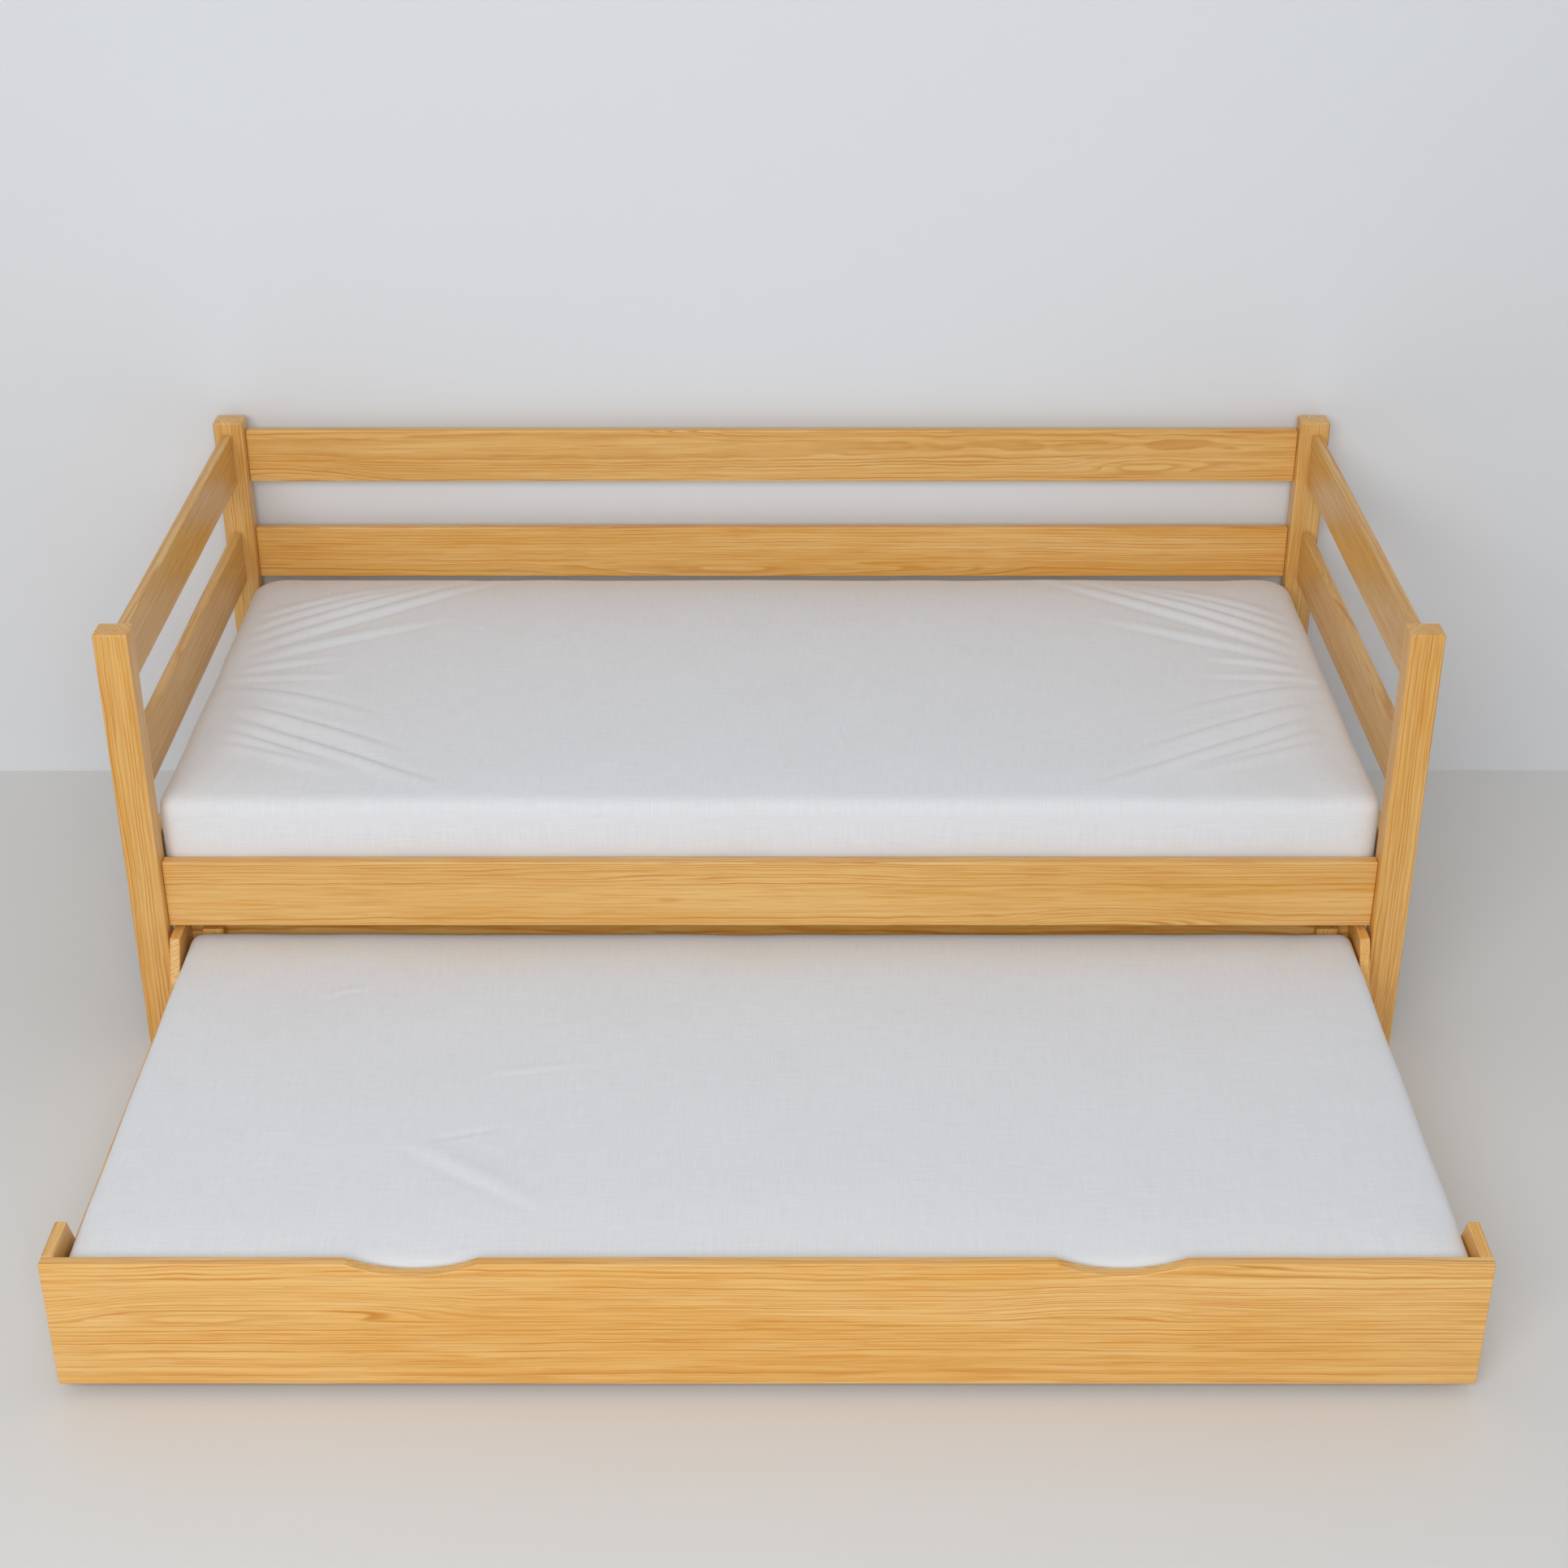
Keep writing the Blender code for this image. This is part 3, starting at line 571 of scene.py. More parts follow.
def turned(bm: bmesh.types.BMesh, axis: int, center: Sequence[float], along: float, radius: float,
           angle: float) -> bmesh.types.BMVert:
    """A vertex at a place along and around an axis."""
    place = [radius * math.cos(angle), radius * math.sin(angle)]
    place.insert(axis, along)
    return bm.verts.new([a + b for a, b in zip(place, center)])


def arc(center: Point, radius: float, start: float, end: float, steps: int) -> list[Point]:
    """Points along an arc, its angles in radians."""
    turns = [start + (end - start) * i / steps for i in range(steps + 1)]
    return [(center[0] + radius * math.cos(a), center[1] + radius * math.sin(a)) for a in turns]


def read_points(mesh: bpy.types.Mesh) -> np.ndarray:
    """A mesh's vertices as an (n, 3) array."""
    flat = np.empty(len(mesh.vertices) * 3, np.float32)
    mesh.vertices.foreach_get("co", flat)
    return flat.reshape(-1, 3).astype(np.float64)


def write_points(mesh: bpy.types.Mesh, points: np.ndarray) -> None:
    """Puts an (n, 3) array back as the mesh's vertices."""
    mesh.vertices.foreach_set("co", points.astype(np.float32).ravel())
    mesh.update()


def read_normals(mesh: bpy.types.Mesh) -> np.ndarray:
    """A mesh's vertex normals as an (n, 3) array."""
    flat = np.empty(len(mesh.vertices) * 3, np.float32)
    mesh.vertex_normals.foreach_get("vector", flat)
    return flat.reshape(-1, 3).astype(np.float64)


def store(mesh: bpy.types.Mesh, name: str, values: np.ndarray) -> None:
    """Stores a number or a vector for each vertex under a name."""
    kind, key = ("FLOAT_VECTOR", "vector") if values.ndim == 2 else ("FLOAT", "value")
    layer = mesh.attributes.get(name) or mesh.attributes.new(name, kind, "POINT")
    layer.data.foreach_set(key, values.astype(np.float32).ravel())


def applied(obj: bpy.types.Object) -> bpy.types.Mesh:
    """Gives an object the mesh its modifiers make, drops the modifiers, and returns that mesh."""
    graph = bpy.context.evaluated_depsgraph_get()
    graph.update()
    mesh = bpy.data.meshes.new_from_object(obj.evaluated_get(graph))
    obj.modifiers.clear()
    obj.data = mesh
    return mesh


def place_mesh(name: str, mesh: bpy.types.Mesh, *materials: bpy.types.Material) -> bpy.types.Object:
    """Links a mesh into the scene as an object with these materials; returns the object."""
    obj = bpy.data.objects.new(name, mesh)
    bpy.context.scene.collection.objects.link(obj)
    for material in materials:
        mesh.materials.append(material)
    return obj


def place_bmesh(name: str, bm: bmesh.types.BMesh, *materials: bpy.types.Material) -> bpy.types.Object:
    """Turns a bmesh into an object with these materials; returns the object."""
    mesh = bpy.data.meshes.new(name)
    bm.to_mesh(mesh)
    bm.free()
    return place_mesh(name, mesh, *materials)


def shade(obj: bpy.types.Object, sharp: float = 35.0) -> None:
    """Smooth shading that keeps flat faces flat and edges past an angle sharp."""
    mesh = obj.data
    mesh.shade_smooth()
    mesh.set_sharp_from_angle(angle=math.radians(sharp))
    weighted = obj.modifiers.new("weighted", "WEIGHTED_NORMAL")
    weighted.keep_sharp = True


def join_pieces(name: str, parts: Sequence[bpy.types.Object]) -> bpy.types.Object:
    """Merges meshes that never move apart, such as a row of screws, into one object; returns it."""
    first = parts[0]
    with bpy.context.temp_override(active_object=first, selected_editable_objects=list(parts)):
        bpy.ops.object.join()
    first.name = name
    first.data.name = name
    return first


def drop_mesh(obj: bpy.types.Object) -> None:
    """Deletes an object that was only a tool."""
    bpy.data.objects.remove(obj)


# ---------------------------------------------------------------- boards
class Grain(Enum):
    """The axis along which a board's grain runs."""

    ALONG_BED = 0
    ACROSS_BED = 1
    UPRIGHT = 2


class Sawing(Enum):
    """How far the pith lies from the middle of a board: across its width, and behind its face."""

    CATHEDRAL = (0.012, 0.046)
    RIFT = (0.075, 0.060)
    QUARTER = (0.130, 0.012)


@dataclass(frozen=True)
class LogCut:
    """Where in its log a board was sawn."""

    grain: Grain
    pith: Point
    seed: float
    slope: float = 0.0
    density: float = 1.0
    tone: float = 0.5

    @classmethod
    def any_for(cls, name: str, grain: Grain, sawing: Sawing = Sawing.RIFT) -> "LogCut":
        """A cut that is always the same for the same piece.

        Args:
            name: the piece's name, which picks the cut.
            grain: the axis of its grain.
            sawing: how it lies in the log.

        Returns:
            The cut.
        """
        draw = random.Random(zlib.crc32(name.encode()))
        wide, deep = sawing.value
        pith = (wide * draw.uniform(0.75, 1.25) * draw.choice((-1, 1)), deep * draw.uniform(0.8, 1.2))
        return cls(grain, pith, draw.uniform(0.0, 40.0), draw.uniform(-0.006, 0.006), draw.uniform(0.9, 1.15),
                   draw.random())

    def mark(self, mesh: bpy.types.Mesh) -> None:
        """Stores each vertex's place in the log, which carries the grain through faces, edges and ends."""
        points = read_points(mesh)
        middle = (points.min(axis=0) + points.max(axis=0)) / 2
        sizes = points.max(axis=0) - points.min(axis=0)
        along = self.grain.value
        others = sorted((axis for axis in range(3) if axis != along), key=lambda axis: -sizes[axis])
        place = points - middle
        wide, deep = place[:, others[0]], place[:, others[1]]
        log = np.stack([place[:, along] + self.seed,
                        (wide - self.pith[0] - self.slope * place[:, along]) * self.density,
                        (deep - self.pith[1]) * self.density], axis=1)
        store(mesh, LOG_PLACE, log)
        store(mesh, BOARD_TONE, np.full(len(points), self.tone))


@dataclass
class Boards:
    """Makes pine pieces in the places of their nodes."""

    finishes: Finishes
    batten_edge: float = 0.0015
    count: int = 0

    def box(self, node: str, cut: LogCut, body: str, edge: float, slot: str = "pine",
            bores: Sequence["Bore"] = ()) -> bpy.types.Object:
        """A straight board.

        Args:
            node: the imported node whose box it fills.
            cut: where it was sawn.
            body: the body it rides on.
            edge: the rounding of its edges.
            slot: the material slot it takes its finish from.
            bores: holes drilled in it.

        Returns:
            The board.
        """
        low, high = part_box(node)
        return self.dress(node, rounded_box(low, high, edge), cut, body, slot, bores)

    def batten(self, node: str, grain: Grain, sawing: Sawing, body: str) -> None:
        """A bare slat or ledger, with finer edges than a board's."""
        self.box(node, LogCut.any_for(node, grain, sawing), body, self.batten_edge, slot="pine_batten")

    def dress(self, node: str, bm: bmesh.types.BMesh, cut: LogCut, body: str, slot: str = "pine",
              bores: Sequence["Bore"] = ()) -> bpy.types.Object:
        """Drills a shaped board, gives it its grain and finish, and puts it in its node's place.

        Args:
            node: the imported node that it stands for.
            bm: its shape.
            cut: where it was sawn.
            body: the body it rides on.
            slot: the material slot it takes its finish from.
            bores: holes drilled in it.

        Returns:
            The board.
        """
        material = self.finishes.raw if slot == "pine_batten" else self.finishes.honey
        obj = place_bmesh(f"{node}.pine", bm, material)
        for bore in bores:
            bore.drill(obj)
        cut.mark(obj.data)
        shade(obj)
        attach(obj, body)
        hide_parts(node)
        self.count += 1
        return obj


@dataclass(frozen=True)
class Bore:
    """A round hole with a slightly broken rim, drilled from a point in the direction of an axis."""

    mouth: tuple[float, float, float]
    axis: int
    toward: int
    radius: float
    depth: float
    rim: float = 0.0006

    def drill(self, obj: bpy.types.Object) -> None:
        """Cuts the hole in an object's mesh."""
        over = 0.002
        profile = [(-over, 0.0), (-over, self.radius + self.rim + over), (self.rim, self.radius),
                   (self.depth, self.radius), (self.depth, 0.0)]
        profile = [(along * self.toward, radius) for along, radius in profile]
        tool = place_bmesh("drill", lathe(profile, self.axis, self.mouth, segments=40))
        cut = obj.modifiers.new("bore", "BOOLEAN")
        cut.object = tool
        cut.operation = "DIFFERENCE"
        cut.solver = "EXACT"
        applied(obj)
        drop_mesh(tool)


@dataclass
class BedFrame:
    """The fixed bed: four posts, three guarded sides, the rails under the mattress, and its slats."""

    boards: Boards
    body: str = "bed"
    post_edge: float = 0.0036
    board_edge: float = 0.0024
    slats: int = 12
    counterbore_radius: float = 0.009
    counterbore_depth: float = 0.0065

    def build(self) -> None:
        """Makes and dresses every board of the bed."""
        self.build_posts()
        self.build_guards()
        self.build_rails()
        self.build_slats()
        LOG.info("bed frame: %d boards", self.boards.count)

    def build_posts(self) -> None:
        """The posts, with a counterbore for the bolt in each outer face."""
        cuts = {
            "post_front_left": LogCut(Grain.UPRIGHT, (0.070, 0.055), 3.1, slope=0.004, density=0.78, tone=0.45),
            "post_front_right": LogCut(Grain.UPRIGHT, (-0.066, 0.050), 11.4, slope=-0.003, density=0.80, tone=0.50),
            "post_back_left": LogCut(Grain.UPRIGHT, (-0.060, -0.050), 17.3, density=0.85, tone=0.25),
            "post_back_right": LogCut(Grain.UPRIGHT, (0.062, -0.048), 23.9, density=0.85, tone=0.30),
        }
        for name, cut in cuts.items():
            low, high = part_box(name)
            bolt_low, bolt_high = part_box(name.replace("post", "bed_bolt"))
            middle = (bolt_low + bolt_high) / 2
            left = name.endswith("left")
            mouth = (low.x if left else high.x, middle.y, middle.z)
            bore = Bore(mouth, 0, 1 if left else -1, self.counterbore_radius, self.counterbore_depth)
            self.boards.box(name, cut, self.body, self.post_edge, bores=[bore])

    def build_guards(self) -> None:
        """The two guard rails along the back and the two on each side."""
        edge = self.board_edge
        self.boards.box("back_guard_rail_upper", LogCut(Grain.ALONG_BED, (0.020, 0.062), 5.2, 0.002, 1.0, 0.55),
                        self.body, edge)
        self.boards.box("back_guard_rail_lower", LogCut(Grain.ALONG_BED, (-0.070, 0.050), 9.7, -0.002, 0.9, 0.80),
                        self.body, edge)
        for side, seed, slope in (("left", 6.3, 0.004), ("right", 26.8, -0.003)):
            for level, pith in (("upper", (0.085, 0.028)), ("lower", (-0.078, 0.034))):
                # Painted shade: the side guard rails get a tone below any drawn one, which darkens the faces that the
                # front light barely reaches.
                cut = LogCut(Grain.ACROSS_BED, pith, seed + pith[1] * 100, slope, density=0.8, tone=-0.1)
                self.boards.box(f"{side}_guard_rail_{level}", cut, self.body, edge)

    def build_rails(self) -> None:
        """The deep rails round the mattress and the ledgers that carry the slats."""
        front = LogCut(Grain.ALONG_BED, (-0.012, 0.050), 14.6, 0.001, 0.9, 0.6)
        self.boards.box("bed_rail_front", front, self.body, self.board_edge)
        self.boards.box("bed_rail_back", LogCut.any_for("bed_rail_back", Grain.ALONG_BED), self.body, self.board_edge)
        for side in ("left", "right"):
            name = f"end_rail_{side}"
            self.boards.box(name, LogCut.any_for(name, Grain.ACROSS_BED), self.body, self.board_edge)
        for side in ("front", "back"):
            self.boards.batten(f"bed_ledger_{side}", Grain.ALONG_BED, Sawing.RIFT, self.body)

    def build_slats(self) -> None:
        """The slats across the bed."""
        for number in range(1, self.slats + 1):
            sawing = Sawing.CATHEDRAL if number % 3 else Sawing.QUARTER
            self.boards.batten(f"bed_slat_{number:02d}", Grain.ACROSS_BED, sawing, self.body)


@dataclass
class TrundleBox:
    """The low drawer-like bed that rolls out: a full-height front, sides with raised ends, a back and slats."""

    boards: Boards
    body: str = "trundle"
    edge: float = 0.0024
    slats: int = 10
    grip_width: float = 0.180
    grip_depth: float = 0.0195
    grip_offset: float = 0.4817
    side_low_edge: float = 0.148
    front_ear_top: float = 0.0755
    back_ear_top: float = 0.083
    ear_slope: float = math.radians(26.0)
    ear_fillet: float = 0.045

    def build(self) -> None:
        """Makes and dresses every board of the trundle."""
        before = self.boards.count
        self.build_front()
        self.build_sides()
        self.build_back()
        self.build_base()
        LOG.info("trundle box: %d boards", self.boards.count - before)

    def build_front(self) -> None:
        """The front board, with its two shallow finger cut-outs."""
        low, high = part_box("trundle_front_board")
        half = self.grip_width / 2
        radius = (half ** 2 + self.grip_depth ** 2) / (2 * self.grip_depth)
        spread = math.asin(half / radius)
        down = -math.pi / 2
        outline = [(low.x, low.z), (high.x, low.z), (high.x, high.z)]
        for x in (self.grip_offset, -self.grip_offset):
            outline += arc((x, high.z - self.grip_depth + radius), radius, down + spread, down - spread, 40)
        outline.append((low.x, high.z))
        cut = LogCut(Grain.ALONG_BED, (0.135, 0.045), 31.2, 0.0015, 0.70, 0.75)
        self.boards.dress("trundle_front_board", prism(outline, 1, low.y, high.y, self.edge), cut, self.body)

    def ear(self, corner: float, direction: int, top: float) -> list[Point]:
        """An ear's sloping edge from its top corner down to the side's low edge, with its concave foot.

        Args:
            corner: the Y of the top corner.
            direction: 1 where the side goes on towards +Y, otherwise -1.
            top: the height of the ear.

        Returns:
            The edge's points in Y and Z.
        """
        drop = top - self.side_low_edge
        bend = math.pi / 2 - self.ear_slope
        tangent = drop * math.tan(self.ear_slope) + self.ear_fillet * math.tan(bend / 2)
        foot = arc((tangent, self.side_low_edge + self.ear_fillet), self.ear_fillet, -math.pi / 2 - bend,
                   -math.pi / 2, 18)
        return [(corner + direction * y, z) for y, z in [(0.0, top)] + foot]

    def build_sides(self) -> None:
        """The two sides, low between their raised ends."""
        for side in ("left", "right"):
            name = f"trundle_side_{side}"
            low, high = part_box(name)
            front = self.ear(low.y + self.front_ear_top, 1, high.z)
            back = self.ear(high.y - self.back_ear_top, -1, high.z)
            outline = [(low.y, high.z)] + front + back[::-1]
            outline += [(high.y, high.z), (high.y, low.z), (low.y, low.z)]
            cut = LogCut.any_for(name, Grain.ACROSS_BED)
            self.boards.dress(name, prism(outline, 0, low.x, high.x, self.edge), cut, self.body)

    def build_back(self) -> None:
        """The back board and the two small blocks on its inner face."""
        name = "trundle_back_board"
        self.boards.box(name, LogCut.any_for(name, Grain.ALONG_BED), self.body, self.edge)
        for side in ("left", "right"):
            name = f"back_block_{side}"
            self.boards.box(name, LogCut.any_for(name, Grain.UPRIGHT), self.body, self.edge)

    def build_base(self) -> None:
        """The ledgers and the slats under the mattress."""
        for side in ("front", "back"):
            self.boards.batten(f"trundle_ledger_{side}", Grain.ALONG_BED, Sawing.RIFT, self.body)
        for number in range(1, self.slats + 1):
            sawing = Sawing.CATHEDRAL if number % 2 else Sawing.RIFT
            self.boards.batten(f"trundle_slat_{number:02d}", Grain.ACROSS_BED, sawing, self.body)


# ---------------------------------------------------------------- mattresses
@dataclass(frozen=True)
class Fold:
    """A pleat or crease of the sheet between two points: a soft ridge with a narrower valley beside it."""

    start: Point
    end: Point
    height: float
    width: float
    bow: float = 0.0
    valley: float = 0.7

    def mirrored(self) -> "Fold":
        """The same fold at the other end of the bed."""
        flip = (-self.start[0], self.start[1]), (-self.end[0], self.end[1])
        return Fold(flip[0], flip[1], self.height, -self.width, -self.bow, self.valley)

    def lift(self, x: np.ndarray, y: np.ndarray) -> np.ndarray:
        """How far the fold raises each place.

        Args:
            x: the places' X.
            y: their Y.

        Returns:
            The lift of each, fading to nothing at the fold's ends.
        """
        along = np.array(self.end) - np.array(self.start)
        length = float(np.hypot(*along))
        unit = along / length
        run = ((x - self.start[0]) * unit[0] + (y - self.start[1]) * unit[1]) / length
        aside = -(x - self.start[0]) * unit[1] + (y - self.start[1]) * unit[0]
        inside = np.clip(run, 0.0, 1.0)
        aside = (aside - self.bow * 4 * inside * (1 - inside)) / self.width
        ends = np.sin(math.pi * inside ** 0.8) ** 1.2
        ridge = np.exp(-(aside - 0.35) ** 2)
        valley = self.valley * np.exp(-((aside + 0.85) / 0.55) ** 2)
        return self.height * ends * (ridge - valley)


@dataclass
class Mattress:
    """A mattress in its fitted sheet: a padded body, crowned by its filling, with pulled corners and creases."""

    node: str
    body: str
    finishes: Finishes
    corners: tuple[float, float]
    rounding: float
    cell: float
    fill: float
    swell: float
    cap: float
    folds: list[Fold]
    crown: float = 0.003
    inset: float = 0.0
    shift: float = 0.0
    underlap: float = 0.085
    recess: float = 0.0018
    unevenness: float = 0.0017
    pressure: float = 4.0
    frames: int = 20

    def build(self) -> bpy.types.Object:
        """Makes the mattress.

        Returns:
            The piece, which stands for its node.
        """
        low, high = (np.array(corner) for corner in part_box(self.node))
        obj = place_mesh(f"{self.node}.cover", self.blank(low, high), self.finishes.cotton, self.finishes.ticking)
        self.inflate(obj)
        smooth = obj.modifiers.new("finer", "SUBSURF")
        smooth.levels = smooth.render_levels = 1
        mesh = applied(obj)
        self.fit(mesh, low, high)
        self.settle(mesh, low, high)
        mesh.shade_smooth()
        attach(obj, self.body)
        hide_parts(self.node)
        LOG.info("%s: %d faces", obj.name, len(mesh.polygons))
        return obj

    def blank(self, low: np.ndarray, high: np.ndarray) -> bpy.types.Mesh:
        """The unfilled shape: a rounded slab in even square cells, a little smaller than the finished one.

        Args:
            low: the node's lowest corner.
            high: its highest corner.

        Returns:
            The closed mesh.
        """
        low, high = low + self.swell * np.array((1, 1, 0)), high - self.swell
        counts = np.maximum(4, np.round((high - low) / self.cell).astype(int))
        bm = bmesh.new()
        lookup: dict[tuple[int, int, int], bmesh.types.BMVert] = {}

        def corner_at(index: tuple[int, int, int]) -> bmesh.types.BMVert:
            """The vertex of a grid corner, made the first time it is asked for."""
            if index not in lookup:
                lookup[index] = bm.verts.new(low + (high - low) * np.array(index) / counts)
            return lookup[index]

        for axis in range(3):
            first, second = (other for other in range(3) if other != axis)
            for level in (0, int(counts[axis])):
                for i in range(counts[first]):
                    for j in range(counts[second]):
                        ring = []
                        for di, dj in ((0, 0), (1, 0), (1, 1), (0, 1)):
                            index = [0, 0, 0]
                            index[axis], index[first], index[second] = level, i + di, j + dj
                            ring.append(corner_at(tuple(index)))
                        bm.faces.new(ring)
        bmesh.ops.recalc_face_normals(bm, faces=bm.faces)
        mesh = bpy.data.meshes.new(self.node)
        bm.to_mesh(mesh)
        bm.free()
        write_points(mesh, self.rounded(read_points(mesh), low, high))
        return mesh

    def rounded(self, points: np.ndarray, low: np.ndarray, high: np.ndarray) -> np.ndarray:
        """Rounds a box's points to the mattress's corner radii in plan and its rounding along the edges.

        Args:
            points: places on the box.
            low: the box's lowest corner.
            high: its highest corner.

        Returns:
            The rounded places.
        """
        middle, half = (low + high) / 2, (high - low) / 2
        place = points - middle
        corner = np.where(place[:, 1:2] < 0, self.corners[0], self.corners[1])
        core = half[:2] - corner
        nearest = np.clip(place[:, :2], -core, core)
        out = place[:, :2] - nearest
        reach = np.linalg.norm(out, axis=1, keepdims=True)
        limit = corner - self.rounding
        inner = nearest + out * np.minimum(1.0, limit / np.maximum(reach, TINY))
        level = np.clip(place[:, 2:], -(half[2] - self.rounding), half[2] - self.rounding)
        inner = np.concatenate([inner, level], axis=1)
        gap = place - inner
        length = np.linalg.norm(gap, axis=1, keepdims=True)
        return middle + inner + gap * self.rounding / np.maximum(length, TINY)

    def inflate(self, obj: bpy.types.Object) -> None:
        """Lets the filling press the cover outwards as cloth, and keeps each point within the cap.

        Args:
            obj: the blank; its mesh is replaced.
        """
        rest = read_points(obj.data)
        cloth = obj.modifiers.new("cloth", "CLOTH")
        settings = cloth.settings
        settings.quality = 5
        settings.mass = 0.3
        settings.use_pressure = True
        settings.uniform_pressure_force = self.pressure
        settings.effector_weights.gravity = 0.0
        settings.tension_stiffness = 25.0
        settings.compression_stiffness = 25.0
        settings.bending_stiffness = 1.5
        cloth.point_cache.frame_start, cloth.point_cache.frame_end = 1, self.frames
        for number in range(1, self.frames + 1):
            bpy.context.scene.frame_set(number)
        mesh = applied(obj)
        moved = read_points(mesh)
        shift = moved - rest
        length = np.linalg.norm(shift, axis=1, keepdims=True)
        soft = self.cap * np.tanh(length / self.cap)
        write_points(mesh, rest + shift * soft / np.maximum(length, TINY))
        bpy.context.scene.frame_set(1)
        LOG.info("%s: swelled by up to %.1f mm", obj.name, 1000 * float(soft.max()))

    def fit(self, mesh: bpy.types.Mesh, low: np.ndarray, high: np.ndarray) -> None:
        """Stretches the cover over the mattress's own length, width and height, as a fitted sheet is.

        Args:
            mesh: the swelled cover.
            low: the node's lowest corner.
            high: its highest corner.
        """
        points = read_points(mesh)
        least, most = points.min(axis=0), points.max(axis=0)
        start = low + np.array((self.shift + self.inset, 0.0, 0.0))
        end = high + np.array((self.shift - self.inset, 0.0, self.crown))
        write_points(mesh, start + (points - least) * (end - start) / (most - least))

    def settle(self, mesh: bpy.types.Mesh, low: np.ndarray, high: np.ndarray) -> None:
        """Flattens what rests on the slats, creases the sheet, and marks threads and ticking.

        Args:
            mesh: the swelled cover.
            low: the node's lowest corner.
            high: its highest corner.
        """
        points = read_points(mesh)
        normals = read_normals(mesh)
        x, y = points[:, 0], points[:, 1]
        upward = np.clip(normals[:, 2] * 1.3 + 0.25, 0.0, 1.0)
        lift = sum((fold.lift(x, y) for fold in self.folds), np.zeros(len(points)))
        points += normals * (lift * upward)[:, None]
        points += normals * (self.slack(points) * self.unevenness)[:, None]
        inset = np.minimum.reduce([x - low[0], high[0] - x, y - low[1], high[1] - y])
        under = normals[:, 2] < -0.6
        step = np.clip((inset - self.underlap) / 0.006, 0.0, 1.0)
        points[:, 2] = np.where(under, low[2] + self.recess * step, points[:, 2])
        points = np.clip(points, low - 0.004, high + np.array((0.004, 0.004, self.crown + 0.006)))
        points[:, 2] = np.maximum(points[:, 2], low[2])
        write_points(mesh, points)
        normals = read_normals(mesh)
        drop = high[2] - points[:, 2]
        store(mesh, CLOTH_PLACE, np.stack([x + drop * normals[:, 0], y + drop * normals[:, 1], 0 * x], axis=1))
        slots = np.zeros(len(mesh.polygons), np.int32)
        for index, polygon in enumerate(mesh.polygons):
            if polygon.normal.z < -0.6:
                center = polygon.center
                gap = min(center.x - low[0], high[0] - center.x, center.y - low[1], high[1] - center.y)
                slots[index] = 1 if gap > self.underlap + 0.003 else 0
        mesh.polygons.foreach_set("material_index", slots)

    @staticmethod
    def slack(points: np.ndarray) -> np.ndarray:
        """Soft unevenness of the cover, from a few crossing waves of different lengths.

        Args:
            points: the cover's points.

        Returns:
            A number for each point, roughly from -1 to 1.
        """
        x, y, z = points.T
        swing = np.sin(7.1 * x + 3.3 * np.sin(4.7 * y + 0.6)) * np.sin(9.3 * y + 1.9 * np.sin(5.9 * x))
        swing += 0.6 * np.sin(19.0 * x + 11.0 * y + 2.1 * np.sin(8.0 * x - 3.0 * y))
        swing += 0.5 * np.sin(23.0 * y - 13.0 * x + 30.0 * z)
        return swing / 2.1


